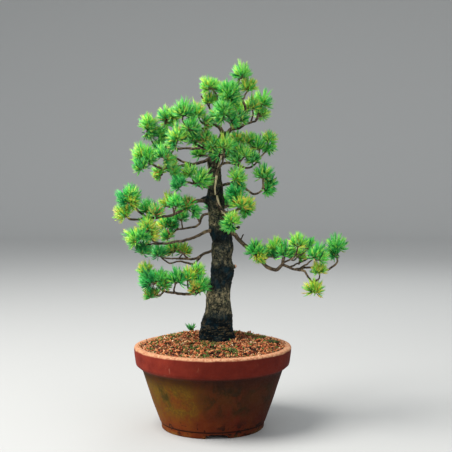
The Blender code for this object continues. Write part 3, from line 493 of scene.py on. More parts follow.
# Which tones turn up among the needles of a tuft, and how often.
TONE_MIX = {
    "m": (("m", 0.66), ("b", 0.12), ("d", 0.12), ("n", 0.10)),
    "d": (("d", 0.68), ("m", 0.14), ("u", 0.10), ("o", 0.08)),
    "b": (("b", 0.62), ("m", 0.16), ("y", 0.16), ("n", 0.06)),
    "y": (("y", 0.52), ("b", 0.28), ("m", 0.14), ("n", 0.06)),
    "u": (("u", 0.64), ("d", 0.16), ("m", 0.14), ("n", 0.06)),
    "o": (("o", 0.38), ("m", 0.34), ("r", 0.08), ("d", 0.20)),
    "r": (("r", 0.26), ("o", 0.20), ("y", 0.20), ("m", 0.34)),
}

# Mulch colours, as sRGB: bark, then two dark bits, then four pale grains, then two bits of moss.
CHIP_SHADES = (
    "dc8650", "c86c3e", "e29660", "ae5430", "e6a672", "8c402a", "d07444", "bc7446",
    "1e0f0a", "361c12", "e6b482", "d6a070", "eecfa6", "c88c60", "46682a", "74883a",
)


# Leaves of moss, then of seedlings and of the weed.
LEAF_SHADES = (
    "2c4218", "3a5420", "1f3414", "46622a", "2a4a22", "35501c", "50682c", "24381a",
    "2f8a3c", "46a83e", "1d6e38", "58b848", "2a7a44", "6cc04c", "1a5c34", "3c9a48",
)
# Each seedling is (x, y, height, leaves), in millimetres from the pot's axis.
SEEDLINGS = (
    (37, -45, 9, 9), (76, -61, 7, 8), (99, -77, 8, 9), (52, -30, 6, 6), (-60, -70, 5, 6),
    (-30, -50, 5, 6), (-92, 60, 7, 7), (70, 110, 6, 7), (100, 86, 6, 6), (-95, -40, 4, 6),
)
# The trunk's paleness, as stops from a height of WHORL_FOOT over a span of WHORL_SPAN: dark at the old
# whorls, and dark at the trunk's foot as painted shadow.
WHORL_FOOT = 0.15
WHORL_SPAN = 0.5
WHORL_AND_FOOT_SHADOW_STOPS = (
    (0.00, 0.00), (0.15, 0.01), (0.182, 0.72), (0.24, 0.95), (0.27, 0.12), (0.34, 0.04), (0.37, 0.45),
    (0.43, 0.40), (0.46, 0.04), (0.495, 0.08), (0.52, 0.80), (0.58, 0.75), (0.61, 0.15), (0.66, 0.2),
    (0.70, 0.65), (0.76, 0.45), (0.80, 0.15), (1.00, 0.35),
)


def srgb(code):
    """A hex colour as the linear numbers that a shader takes."""
    parts = [int(code[i : i + 2], 16) / 255 for i in (0, 2, 4)]
    return tuple(c / 12.92 if c < 0.04045 else ((c + 0.055) / 1.055) ** 2.4 for c in parts) + (1.0,)


class Shader:
    """Short ways to build one material's nodes."""

    def __init__(self, name, roughness=0.6, specular=0.4):
        self.material = bpy.data.materials.new(name)
        self.material.use_nodes = True
        self.nodes = self.material.node_tree.nodes
        self.links = self.material.node_tree.links
        self.out = self.nodes["Principled BSDF"]
        self.out.inputs["Roughness"].default_value = roughness
        self.out.inputs["Specular IOR Level"].default_value = specular

    def add(self, kind, output, inputs, **settings):
        """A new node. Each of its inputs is a link or a constant. Gives one output, or all for None."""
        node = self.nodes.new(kind)
        for key, value in settings.items():
            setattr(node, key, value)
        for key, value in inputs.items():
            self.put(node.inputs[key], value)
        return node.outputs if output is None else node.outputs[output]

    def put(self, socket, value):
        if isinstance(value, bpy.types.NodeSocket):
            self.links.new(value, socket)
        elif value is not None:
            socket.default_value = value

    def place(self):
        """The point on the object, in metres in the object's own frame."""
        return self.add("ShaderNodeTexCoord", "Object", {})

    def stretched(self, vector, scale):
        return self.add("ShaderNodeMapping", "Vector", {"Vector": vector, "Scale": scale})

    def noise(self, vector, scale, detail=4, roughness=0.55, distortion=0.0):
        look = {"Scale": scale, "Detail": detail, "Roughness": roughness, "Distortion": distortion}
        return self.add("ShaderNodeTexNoise", "Fac", {"Vector": vector, **look})

    def cells(self, vector, scale):
        return self.add("ShaderNodeTexVoronoi", "Distance", {"Vector": vector, "Scale": scale})

    def ramp(self, value, stops, interpolation="LINEAR"):
        """stops: (place, hex colour or a grey number)."""
        node = self.nodes.new("ShaderNodeValToRGB")
        ramp = node.color_ramp
        ramp.interpolation = interpolation
        while len(ramp.elements) < len(stops):
            ramp.elements.new(1.0)
        for element, (place, colour) in zip(ramp.elements, stops):
            element.position = place
            element.color = srgb(colour) if isinstance(colour, str) else (colour, colour, colour, 1)
        self.put(node.inputs["Fac"], value)
        return node.outputs["Color"]

    def range(self, value, low, high, to_low=0.0, to_high=1.0):
        """A soft step from to_low to to_high while the value goes from low to high."""
        inputs = {"Value": value, "From Min": low, "From Max": high, "To Min": to_low, "To Max": to_high}
        return self.add("ShaderNodeMapRange", "Result", inputs, interpolation_type="SMOOTHSTEP")

    def math(self, operation, a, b=None):
        return self.add("ShaderNodeMath", "Value", {0: a, 1: b}, operation=operation)

    def plus(self, a, b):
        return self.math("ADD", a, b)

    def minus(self, a, b):
        return self.math("SUBTRACT", a, b)

    def times(self, value, *others):
        for other in others:
            value = self.math("MULTIPLY", value, other)
        return value

    def sway(self, value, amount):
        """A noise's swing about its middle, times an amount."""
        return self.times(self.minus(value, 0.5), amount)

    def away(self, value, middle):
        return self.math("ABSOLUTE", self.minus(value, middle))

    def mix(self, factor, a, b, blend="MIX"):
        """The colour from a to b. Sockets 6 and 7 are the node's colours, and 2 is its result."""
        a, b = (srgb(side) if isinstance(side, str) else side for side in (a, b))
        inputs = {"Factor": factor, 6: a, 7: b}
        return self.add("ShaderNodeMix", 2, inputs, data_type="RGBA", blend_type=blend)

    def split(self, vector):
        return self.add("ShaderNodeSeparateXYZ", None, {"Vector": vector})

    def uv(self):
        return self.split(self.add("ShaderNodeUVMap", "UV", {}, uv_map=UV_NAME))

    def mesh_value(self, name):
        return self.add("ShaderNodeAttribute", "Fac", {}, attribute_name=name)

    def bump(self, height, strength, distance):
        inputs = {"Height": height, "Strength": strength, "Distance": distance}
        self.put(self.out.inputs["Normal"], self.add("ShaderNodeBump", "Normal", inputs))

    def colour(self, value):
        self.put(self.out.inputs["Base Color"], value)
        return self.material

    def rough(self, value):
        self.put(self.out.inputs["Roughness"], value)


# ---------------------------------------------------------------- meshes

def ground(radius):
    """Height of the planting's surface over the table, at a distance from the pot's axis."""
    share = min(1.0, radius / SOIL_RADIUS)
    return SOIL_EDGE_HEIGHT + SOIL_DOME * (1 - share ** SOIL_FLATNESS)


def plant_point(place):
    """A point of the plan, in millimetres from the pot's axis, in the CAD's frame."""
    return AXIS + Vector(place) * MM


class Mesh:
    """Triangles gathered from many small shapes, each corner with its place in the UV map."""

    def __init__(self):
        self.points, self.faces, self.uvs, self.values = [], [], [], []
        self.count = 0

    def add(self, points, faces, uvs=None, values=None):
        points = np.asarray(points, np.float32).reshape(-1, 3)
        self.points.append(points)
        self.faces.append(np.asarray(faces, np.int32).reshape(-1, 3) + self.count)
        uvs = np.zeros((len(points), 2)) if uvs is None else uvs
        values = np.zeros(len(points)) if values is None else values
        self.uvs.append(np.asarray(uvs, np.float32))
        self.values.append(np.asarray(values, np.float32))
        self.count += len(points)

    def build(self, name, material, has_uv=False, value_name=None):
        points = np.concatenate(self.points)
        faces = np.concatenate(self.faces)
        mesh = bpy.data.meshes.new(name)
        mesh.vertices.add(len(points))
        mesh.vertices.foreach_set("co", points.ravel())
        mesh.loops.add(faces.size)
        mesh.loops.foreach_set("vertex_index", faces.ravel())
        mesh.polygons.add(len(faces))
        mesh.polygons.foreach_set("loop_start", np.arange(0, faces.size, 3, dtype=np.int32))
        mesh.update(calc_edges=True)
        mesh.polygons.foreach_set("use_smooth", np.ones(len(faces), bool))
        if has_uv:
            layer = mesh.uv_layers.new(name=UV_NAME)
            layer.data.foreach_set("uv", np.concatenate(self.uvs)[faces.ravel()].ravel())
        if value_name:
            layer = mesh.attributes.new(value_name, "FLOAT", "POINT")
            layer.data.foreach_set("value", np.concatenate(self.values))
        mesh.materials.append(material)
        obj = bpy.data.objects.new(name, mesh)
        bpy.context.scene.collection.objects.link(obj)
        return obj


def grid_faces(rings, sides, closed=True):
    """Triangles between rings of points that lie one after the other."""
    i = np.arange(rings - 1)[:, None] * sides
    k = np.arange(sides if closed else sides - 1)[None, :]
    j = (k + 1) % sides
    a, b, c, d = i + k, i + j, i + sides + j, i + sides + k
    return np.concatenate([np.stack((a, b, c), -1).reshape(-1, 3), np.stack((a, c, d), -1).reshape(-1, 3)])


def smooth_route(points, pieces):
    """Points along a smooth curve through the given ones, as the CAD bends its stems."""
    ends = [2 * points[0] - points[1], *points, 2 * points[-1] - points[-2]]
    route = []
    for a, b, c, d in zip(ends, ends[1:], ends[2:], ends[3:]):
        for step in range(pieces):
            t = step / pieces
            route.append(
                0.5 * (2 * b + (c - a) * t + (2 * a - 5 * b + 4 * c - d) * t * t
                       + (3 * b - a - 3 * c + d) * t * t * t)
            )
    return route + [points[-1]]


def ring_axes(route):
    """For each point of a route, two directions across it that don't twist along it."""
    along = (route[1] - route[0]).normalized()
    side = along.orthogonal().normalized()
    axes = []
    for i in range(len(route)):
        ahead = (route[min(i + 1, len(route) - 1)] - route[max(i - 1, 0)]).normalized()
        side = (side - ahead * side.dot(ahead)).normalized()
        axes.append((side, ahead.cross(side)))
    return axes


def add_tube(mesh, route, radii, sides, shape=None):
    """A closed tube. shape(point, out, radius) gives how much each corner swells, and its crack value."""
    points, uvs, values = [], [], []
    last = len(route) - 1
    for i, (point, radius, (side, other)) in enumerate(zip(route, radii, ring_axes(route))):
        for k in range(sides):
            turn = 2 * math.pi * k / sides
            out = side * math.cos(turn) + other * math.sin(turn)
            swell, value = shape(point, out, radius) if shape else (1, 0)
            points.append(point + out * radius * swell)
            uvs.append((k / sides, i / last))
            values.append(value)
    faces = grid_faces(last + 1, sides)
    tips = len(points)
    for end, before, radius in ((route[0], route[1], radii[0]), (route[-1], route[-2], radii[-1])):
        points.append(end + (end - before).normalized() * radius * 0.5)
        uvs.append((0.5, 0.0 if end is route[0] else 1.0))
        values.append(0)
    k = np.arange(sides)
    j = (k + 1) % sides
    start = np.stack((j, k, np.full(sides, tips)), -1)
    finish = np.stack((k + last * sides, j + last * sides, np.full(sides, tips + 1)), -1)
    mesh.add(points, np.concatenate([faces, start, finish]), uvs, values)


# ---------------------------------------------------------------- wood

def root_swell(point, out):
    """Surface roots swell the foot of the trunk and fade out up it, as in the CAD."""
    fade = max(0.0, min(1.0, (ROOT_TOP * MM - point.z) / (60 * MM)))
    turn = math.atan2(out.y, out.x)
    folds = math.cos(5 * turn + 0.6) * 0.6 + math.cos(3 * turn - 1.1) * 0.4
    return 1 + 0.13 * fade * folds, fade


def trunk_shape(collars):
    """How the bark stands out of the trunk's plain tube, and how deep in a crack each point lies."""

    def shape(point, out, radius):
        swell, foot = root_swell(point, out)
        x, y, z = (point - AXIS + out * radius) / MM
        place = Vector((x, y, z))
        flat = Vector((x, y, (z - ROOT_TOP) * (0.9 + 1.1 * foot)))
        plates = flat / (5.0 + 8.0 * foot) + noise.noise_vector(place / 9) * 0.5
        near, second = noise.voronoi(plates)[0][:2]
        crack = max(0.0, 1 - (second - near) * (4.2 + 1.5 * foot))
        lumps = noise.fractal(place / 26, 0.9, 2.0, 3)
        scales = noise.fractal(place / 4.2, 0.8, 2.1, 4)
        height = 1.9 * lumps + (0.9 + 0.4 * foot) * scales - (0.4 + 1.2 * foot) * crack
        height += 3.4 * foot * noise.noise(Vector((x / 45, y / 45, z / 7)))
        for middle, reach, rise in collars:
            away = (point + out * radius - middle).length
            if away < 2.2 * reach:
                height += rise * math.exp(-((away / reach) ** 2)) / MM
        return swell + height * MM / radius, crack

    return shape


def smooth_numbers(numbers, pieces):
    return [v.x for v in smooth_route([Vector((n, 0, 0)) for n in numbers], pieces)]


def build_trunk(material):
    """The trunk with its root flare, branch collars, bark plates and stubs."""
    middle = [plant_point(place[:3]) for place in TRUNK]
    collars = []
    for stems in LIMBS.values():
        base, _, corners = stems[0]
        start, ahead = plant_point(corners[0]), (Vector(corners[1]) - Vector(corners[0])).normalized()
        thick = min(zip(middle, TRUNK), key=lambda pair: (pair[0] - start).length)[1][3]
        collars.append((start + ahead * thick * MM, base * 1.7 * MM, base * 0.42 * MM))
    route = smooth_route(middle, TRUNK_RINGS)
    radii = [radius * MM for radius in smooth_numbers([place[3] for place in TRUNK], TRUNK_RINGS)]
    mesh = Mesh()
    add_tube(mesh, route, radii, TRUNK_SIDES, trunk_shape(collars))
    for plan in (SAWN_STUB, *SMALL_STUBS):
        route, radii = stem_route(plan, 14)
        add_tube(mesh, wiggled(route, 3, 1.2 * MM), radii, 24, bark_shape(5, 2.0))
    return mesh.build("trunk_bark", material, has_uv=True, value_name="crack")


def build_dead_wood(material):
    """The bare dead wood on the trunk's front, and the face of the sawn stub."""
    mesh = Mesh()
    for plan in DEAD_STEMS:
        route, radii = stem_route(plan, 8)
        add_tube(mesh, wiggled(route, 2, 0.8 * MM), radii, 14, bark_shape(9, 0.5))
    route, radii = stem_route(SAWN_STUB, 14)
    ahead = (route[-1] - route[-2]).normalized()
    end = route[-1] + ahead * 1.2 * MM
    face = [radii[-1] * share for share in (0.86, 0.82, 0.5)]
    add_tube(mesh, [end, end + ahead * 0.9 * MM, end + ahead * 1.6 * MM], face, 20, bark_shape(4, 0.35))
    return mesh.build("dead_wood", material, has_uv=True, value_name="crack")


def bark_shape(seed, rough):
    """Small ridges, scales and knots on a limb."""

    def shape(point, out, radius):
        place = (point + out * radius) / MM + Vector((seed * 37, 0, 0))
        ridges = noise.fractal(place / 5.5, 0.9, 2.1, 3)
        lumps = noise.noise(place / 17)
        near, second = noise.voronoi(place / 5)[0][:2]
        crack = max(0.0, 1 - (second - near) * 4)
        amount = min(1.0, radius / (4 * MM))
        height = (0.5 * ridges + 0.5 * lumps - 0.35 * crack) * rough * (0.35 + 0.65 * amount)
        return 1 + height * MM / radius, crack

    return shape


def wiggled(points, seed, size):
    """A twig is never a smooth curve: it kinks a little at each old bud."""
    moved = []
    for i, point in enumerate(points):
        free = 0 if i in (0, len(points) - 1) else 1
        moved.append(point + noise.noise_vector(point / (9 * MM) + Vector((seed, 0, 0))) * size * free)
    return moved


def stem_route(plan, pieces):
    base, tip, corners = plan
    route = smooth_route([plant_point(corner) for corner in corners], pieces)
    last = len(route) - 1
    return route, [(tip + (base - tip) * (1 - i / last) ** TAPER) * MM for i in range(last + 1)]


def brush_ways(limb, tufts):
    """Which way each tuft points, as in the CAD, and the twig end that it is nearest to."""
    ends = [Vector(plan[2][-1]) for plan in limb]
    ways = []
    for tuft in tufts:
        middle = Vector(tuft[:3])
        away = middle - min(ends, key=lambda end: (end - middle).length)
        way = away.normalized() * min(1, away.length / 12) + Vector((0, 0, 0.7))
        ways.append(way.normalized())
    return ways


def build_limb(name, stems, shoots, material):
    """One limb with its side twigs, and the shoots that carry its tufts."""
    mesh = Mesh()
    spots = []
    seed = sum(map(ord, name)) % 97
    for number, (base, tip, corners) in enumerate(stems):
        thick = base > 2.9
        if not number:
            back = Vector(corners[0]) - (Vector(corners[1]) - Vector(corners[0])).normalized() * 9
            corners = (back, *corners)
        route, radii = stem_route((base * LIMB_GIRTH, tip * LIMB_GIRTH, corners), 9 if thick else 7)
        route = wiggled(route, seed + number, (1.3 if thick else 1.7) * MM)
        add_tube(mesh, route, radii, 18 if thick else 10, bark_shape(seed, 1.0 if thick else 0.7))
        spots += list(zip(route, radii))[2:]
    for middle, way, size in shoots:
        base = middle - way * size * 0.85
        for place, side_way, side_size in side_tufts(middle, way, size):
            corners = [base, place - side_way * side_size * 0.6, place - side_way * side_size * 0.1]
            add_tube(mesh, smooth_route(corners, 3), [0.95 * MM] * 7, 5)
        start, radius = min(spots, key=lambda spot: (spot[0] - base).length)
        across = (base - start).length
        bend = start + (base - start) * 0.5 + Vector((0, 0, -0.12 * across))
        corners = [start, bend, base, middle - way * size * 0.1]
        route = wiggled(smooth_route(corners, 4), seed, 0.7 * MM)
        thick = min(radius, 1.9 * MM)
        radii = [thick + (0.9 * MM - thick) * i / (len(route) - 1) for i in range(len(route))]
        add_tube(mesh, route, radii, 7, bark_shape(seed, 0.5))
    return mesh.build(name + "_bark", material, has_uv=True, value_name="crack")


# ---------------------------------------------------------------- needles

def tuft_needles(mesh, middle, way, size, tone, rng):
    """One tuft: bundles of five needles that leave a short shoot, steep at its tip and flat at its foot."""
    bundles = int(NEEDLE_BUNDLES * (0.75 + size / (60 * MM)))
    count = bundles * BUNDLE
    side = np.array(way.orthogonal().normalized())
    way = np.array(way)
    other = np.cross(way, side)
    share = (np.arange(bundles) + rng.random(bundles)) / bundles
    turn = np.arange(bundles) * GOLDEN_TURN + rng.normal(0, 0.3, bundles)
    lean = np.radians(98 - 88 * share ** 0.8) + rng.normal(0, 0.18, bundles)
    foot = (-0.70 + 0.50 * share) * size
    lean = np.repeat(lean, BUNDLE) + rng.normal(0, 0.06, count)
    turn = np.repeat(turn, BUNDLE) + rng.normal(0, 0.06, count) / np.maximum(0.35, np.sin(np.abs(lean)))
    foot = np.repeat(foot, BUNDLE)
    out = np.cos(turn)[:, None] * side + np.sin(turn)[:, None] * other
    ahead = np.cos(lean)[:, None] * way + np.sin(lean)[:, None] * out
    reach = rng.normal(1.16, 0.15, bundles) * (1.0 - 0.08 * share)
    length = size * np.repeat(reach, BUNDLE) * rng.normal(1.0, 0.05, count)
    start = np.array(middle) + foot[:, None] * way + out * 0.0007
    lift = np.array((0, 0, 1.0)) * 0.08 + way * 0.10
    width = rng.uniform(0.00050, 0.00076, count)
    across = np.cross(ahead, rng.normal(0, 1, (count, 3)))
    across /= np.linalg.norm(across, axis=1)[:, None]
    third = np.cross(ahead, across)
    rings = []
    for step in range(NEEDLE_STEPS + 1):
        t = step / NEEDLE_STEPS
        centre = start + (ahead * t + lift * t * t) * length[:, None]
        thin = (0.55 + 0.65 * t if t < 0.5 else 1.0) if t < 1 else 0.12
        for k in range(3):
            angle = 2 * math.pi * k / 3
            out_way = across * math.cos(angle) + third * math.sin(angle)
            rings.append(centre + out_way * (width * thin)[:, None])
    points = np.stack(rings, 1).reshape(-1, 3)
    end = 3 * NEEDLE_STEPS
    one = np.concatenate([grid_faces(NEEDLE_STEPS + 1, 3), [(0, 2, 1), (end, end + 1, end + 2)]])
    faces = (np.arange(count)[:, None, None] * (3 * (NEEDLE_STEPS + 1)) + one).reshape(-1, 3)
    names, odds = zip(*TONE_MIX[tone])
    mixed = rng.choice(len(names), bundles, p=odds)
    # Painted light: a share of the crown's bundles take the palest tones.
    if middle[2] > CROWN_FOOT:
        names = (*names, "b", "n")
        painted_sunlight = rng.random(bundles) < 0.45
        mixed[painted_sunlight] = rng.integers(len(names) - 2, len(names), painted_sunlight.sum())
    band = np.array([TONES.index(names[i]) * SHADES for i in mixed]) + rng.integers(0, SHADES, bundles)
    band = np.repeat(band, BUNDLE)
    stray = rng.random(count) < 0.12
    band[stray] = band[stray] // SHADES * SHADES + rng.integers(0, SHADES, stray.sum())
    dead = (rng.random(count) < 0.022) & (np.repeat(share, BUNDLE) < 0.4)
    band[dead] = TONES.index("r") * SHADES + rng.integers(0, SHADES, dead.sum())
    u = np.repeat(np.arange(NEEDLE_STEPS + 1) / NEEDLE_STEPS, 3) * 0.96 + 0.02
    v = np.tile((-0.3, 0.3, 0.0), NEEDLE_STEPS + 1)
    rows = (band[:, None] + 0.5 + v[None, :]) / NEEDLE_BANDS
    uv = np.stack(np.broadcast_arrays(u[None, :], rows), -1).reshape(-1, 2)
    mesh.add(points, faces, uv)


def side_tufts(middle, way, size):
    """The smaller tufts that crowd round a tuft's foot: (middle, way, half size)."""
    turn = noise.noise(middle * 91) * 9 + 0.5 * noise.noise(middle * 53)
    across = way.orthogonal().normalized()
    found = []
    for k in range(SIDE_TUFTS):
        around = Matrix.Rotation(turn + k * 2 * math.pi / SIDE_TUFTS, 3, way)
        out = around @ across
        share = 0.76 + 0.12 * noise.noise(middle * 77 + out)
        lean = (way * 0.75 + out * 0.65 + Vector((0, 0, 0.2))).normalized()
        found.append((middle - way * size * 0.30 + out * size * 0.58, lean, size * share))
    return found


def tuft_bud(mesh, middle, way, size, rng):
    """The winter bud at a shoot's tip, a small tan cone."""
    start = Vector(middle) - way * size * 0.12
    route = [start, start + way * 1.5 * MM, start + way * 3.4 * MM]
    band = (TONES.index("r") * SHADES + int(rng.integers(0, SHADES)) + 0.5) / NEEDLE_BANDS
    bud = Mesh()
    add_tube(bud, route, [1.3 * MM, 1.6 * MM, 0.4 * MM], 6)
    points, faces = bud.points[0], bud.faces[0]
    uvs = bud.uvs[0] * (0.9, 0.018) + (0.05, band - 0.009)
    mesh.add(points, faces, uvs)


def build_pad(name, limb, tufts, material):
    mesh = Mesh()
    rng = np.random.default_rng(sum(map(ord, name)))
    for (x, y, z, size, tone), way in zip(tufts, brush_ways(LIMBS[limb], tufts)):
        middle = plant_point((x, y, z))
        tuft_needles(mesh, middle, way, size * MM, tone, rng)
        tuft_bud(mesh, middle, way, size * MM, rng)
        for place, side_way, side_size in side_tufts(middle, way, size * MM):
            tuft_needles(mesh, place, side_way, side_size, tone, rng)
    return mesh.build(name + "_tufts", material, has_uv=True)


# ---------------------------------------------------------------- pot, mulch and small plants

def pot_outline():
    """(radius, height) points round the pot's wall, from under the floor, out, up and down inside."""
    corners = (
        (12, 11, 1), (12, 21, 1), (90, 21, 6), (98, 29, 8), (130.5, 122, 24), (135.5, 144, 6),
        (144, 157, 5), (146.5, 164.5, 3), (148.5, 166, 3), (154.8, 166.1, 4), (158.6, 164.8, 3),
        (160, 161.5, 3), (159.4, 152, 5), (156.7, 132.4, 10), (155.8, 129.6, 3), (154, 128, 3),
        (143.9, 119.6, 6), (142.6, 117, 3), (122.3, 54, 32), (108, 15.4, 20), (107.2, 14, 2),
        (105.2, 12.6, 3), (105.6, 11.4, 2), (104.2, 1.2, 5), (103, 0, 2), (92.4, 0, 5),
        (91, 1, 2), (87.6, 10.2, 5), (86.4, 11, 2), (12, 11, 12),
    )
    outline = []
    for (r, z, _), (next_r, next_z, steps) in zip(corners, corners[1:]):
        for step in range(steps):
            t = step / steps
            outline.append(((r + (next_r - r) * t) * MM, (z + (next_z - z) * t) * MM))
    return outline


def notch_height(turn):
    """How high the nearest drainage notch cuts the foot ring at this turn round the pot."""
    tallest = 0
    for degrees in NOTCH_TURNS:
        away = (turn - math.radians(degrees) + math.pi) % (2 * math.pi) - math.pi
        across = abs(away) * FOOT_RADIUS / (NOTCH_WIDTH / 2)
        if across < 1:
            tallest = max(tallest, NOTCH_HEIGHT * (1 - across ** 2) ** 0.3)
    return tallest


def build_pot(material):
    """The pot: thrown by hand, so its wall is a little out of true and its surface fine-grained."""
    outline = pot_outline()
    mesh = Mesh()
    points, uvs = [], []
    for i in range(POT_SIDES + 1):
        turn = 2 * math.pi * i / POT_SIDES
        out = Vector((math.cos(turn), math.sin(turn), 0))
        arch = notch_height(turn)
        for j, (radius, z) in enumerate(outline):
            place = out * radius + Vector((0, 0, z))
            wave = noise.noise(place * 9) * 0.55 + noise.noise(place * 40) * 0.10
            grain = noise.noise(place * 260) * 0.05 + noise.noise(Vector((3, 7, z * 700))) * 0.07
            shift = (wave + grain) * MM if z > 1 * MM else 0
            points.append(AXIS + out * (radius + shift) + Vector((0, 0, max(z, arch) + 0.25 * shift)))
            uvs.append((i / POT_SIDES, j / len(outline)))
    sides = len(outline)
    faces = grid_faces(POT_SIDES + 1, sides)
    mesh.add(points, faces, uvs)
    pot = mesh.build("pot_clay", material)
    shape = bmesh.new()
    shape.from_mesh(pot.data)
    bmesh.ops.remove_doubles(shape, verts=shape.verts, dist=1e-6)
    bmesh.ops.recalc_face_normals(shape, faces=shape.faces)
    shape.to_mesh(pot.data)
    shape.free()
    return pot


def chip(mesh, place, size, tilt, band, rng):
    """One flake of bark or grain of clay, with a ragged outline."""
    corners = CHIP_CORNERS
    spread = rng.uniform(0, 2 * math.pi, corners) * 0.35
    turns = np.sort(spread + np.arange(corners) * 2 * math.pi / corners)
    reach = rng.uniform(0.55, 1.0, corners)
    flat = np.stack((np.cos(turns) * reach * size[0] / 2, np.sin(turns) * reach * size[1] / 2), -1)
    half = size[2] / 2
    rings = []
    for height, shrink in ((-half, 0.82), (half, 0.9)):
        lift = height * rng.uniform(0.6, 1.3, corners)
        rings.append(np.column_stack((flat * shrink * rng.uniform(0.85, 1.1, (corners, 1)), lift)))
    points = np.concatenate(rings + [[(0, 0, -half)], [(0, 0, half * 1.1)]])
    matrix = np.array(tilt)
    points = points @ matrix.T + np.array(place)
    k = np.arange(corners)
    j = (k + 1) % corners
    faces = np.concatenate([
        grid_faces(2, corners),
        np.stack((j, k, np.full(corners, 2 * corners)), -1),
        np.stack((k + corners, j + corners, np.full(corners, 2 * corners + 1)), -1),
    ])
    u = rng.uniform(0.03, 0.97, len(points))
    v = (band + 0.5 + rng.uniform(-0.34, 0.34, len(points))) / len(CHIP_SHADES)
    mesh.add(points, faces, np.column_stack((u, v)))


def random_tilt(rng, steep):
    turn = Matrix.Rotation(rng.uniform(0, 2 * math.pi), 3, "Z")
    lean = Matrix.Rotation(rng.normal(0, steep), 3, "X") @ Matrix.Rotation(rng.normal(0, steep), 3, "Y")
    return turn @ lean


def leaflet(mesh, foot, tip, width, band, rng):
    """A narrow pointed leaf from foot to tip, three-sided."""
    ahead = tip - foot
    side = ahead.cross(Vector(rng.normal(0, 1, 3))).normalized()
    other = ahead.cross(side).normalized()
    belly = foot + ahead * 0.4
    ring = [belly + (side * math.cos(a) + other * math.sin(a) * 0.6) * width / 2 for a in (0, 2.1, 4.2)]
    points = [foot, *ring, tip]
    faces = [(0, 2, 1), (0, 3, 2), (0, 1, 3), (1, 2, 4), (2, 3, 4), (3, 1, 4)]
    v = (band + 0.5 + rng.uniform(-0.3, 0.3, len(points))) / len(LEAF_SHADES)
    mesh.add(points, faces, np.column_stack((rng.uniform(0.03, 0.97, len(points)), v)))


def surface_point(x, y, up=0.0):
    """A point on the planting's surface, x and y in metres from the pot's axis."""
    radius = math.hypot(x, y)
    mounds = noise.noise(Vector((x, y, 0)) * 27) * 4.2 * MM
    mounds += noise.noise(Vector((x, y, 0.1)) * 70) * 2.0 * MM
    fade = min(1.0, max(0.0, (SOIL_RADIUS - radius) / (14 * MM)))
    hollow = FRONT_HOLLOW * math.exp(-((x / MM - 4) / 45) ** 2 - ((y / MM + 38) / 26) ** 2)
    return AXIS + Vector((x, y, ground(radius) + mounds * fade - hollow + up))


def build_mulch_bed(material):
    """The lumpy ground of dust and crumbs that the loose chips lie on."""
    rings, sides = 70, 220
    edge = SOIL_RADIUS - 0.4 * MM
    points = []
    for i in range(rings):
        radius = edge * i / (rings - 1)
        for k in range(sides):
            turn = 2 * math.pi * k / sides
            x, y = radius * math.cos(turn), radius * math.sin(turn)
            place = Vector((x, y, 0)) / MM
            bump = noise.fractal(place / 9, 0.8, 2.1, 4) * 1.8
            fade = min(1.0, (edge - radius) / (8 * MM))
            points.append(surface_point(x, y, (bump * fade - 2.2) * MM))
    mesh = Mesh()
    mesh.add(points, grid_faces(rings, sides))
    return mesh.build("mulch_bed", material)


def sizes(rng, *spans):
    """A random number within each span of millimetres."""
    return np.array([rng.uniform(low, high) for low, high in spans]) * MM


def build_chips(material):
    """Loose bark flakes, pumice and clay grains, with crumbs of moss among them."""
    mesh = Mesh()
    rng = np.random.default_rng(11)
    for _ in range(CHIPS):
        turn = rng.uniform(0, 2 * math.pi)
        radius = SPILL_RADIUS * math.sqrt(rng.uniform(0.02, 1))
        if radius > SOIL_RADIUS and rng.random() < 0.45:
            continue
        x, y = radius * math.cos(turn), radius * math.sin(turn)
        kind = rng.random()
        fine = x > 0 and abs(y - 40 * MM) < 45 * MM
        fine = fine and 34 * MM < math.hypot(x - 20 * MM, y - 5 * MM) < 85 * MM
        if kind < 0.50 and not fine:
            size = sizes(rng, (7, 17), (3.2, 7.2), (1.2, 3))
            band = rng.integers(0, 8)
        elif kind < 0.70:
            size = sizes(rng, (3, 7), (2.5, 5), (2, 4))
            band = rng.integers(8, 10) if rng.random() < 0.9 else rng.integers(0, 8)
        elif kind < 0.80:
            size = sizes(rng, (3, 8), (2.5, 6), (2, 4.5))
            band = rng.integers(10, 14)
        elif kind < 0.92:
            size = sizes(rng, (9, 20), (1.0, 1.8), (0.8, 1.4))
            band = rng.choice((0, 2, 4, 6, 10, 11, 13))
        else:
            size = sizes(rng, (3, 7), (3, 6), (2, 3.5))
            band = rng.integers(14, 16)
        if fine:
            size = size * 0.55
            band = rng.choice((5, 3, 9, 7, 8))
        spilt = max(0.0, radius - (SOIL_RADIUS - 6 * MM)) * 0.32
        if radius > SOIL_RADIUS - 3 * MM:
            size = size * 0.6
        up = rng.normal(0.6, 1.5 if spilt == 0 else 0.7) * MM + spilt
        chip(mesh, surface_point(x, y, up), size, random_tilt(rng, 0.55), band, rng)
    for _ in range(MOSS_CRUMBS):
        turn = rng.uniform(0, 2 * math.pi)
        radius = (SOIL_RADIUS - 6 * MM) * math.sqrt(rng.uniform(0.12, 1))
        x, y = radius * math.cos(turn), radius * math.sin(turn)
        if noise.noise(Vector((x, y, 0.3)) * 22) < (-0.05 if x < 0.03 or y < -0.06 else 0.1):
            continue
        foot = surface_point(x, y, 0.5 * MM)
        for _ in range(14):
            start = foot + Vector((rng.normal(0, 2.6), rng.normal(0, 2.6), 0)) * MM
            tip = start + Vector((rng.normal(0, 1.8), rng.normal(0, 1.8), rng.uniform(2, 5))) * MM
            leaflet(mesh, start, tip, 1.5 * MM, rng.integers(14, 16), rng)
    return mesh.build("mulch_chips", material, has_uv=True)


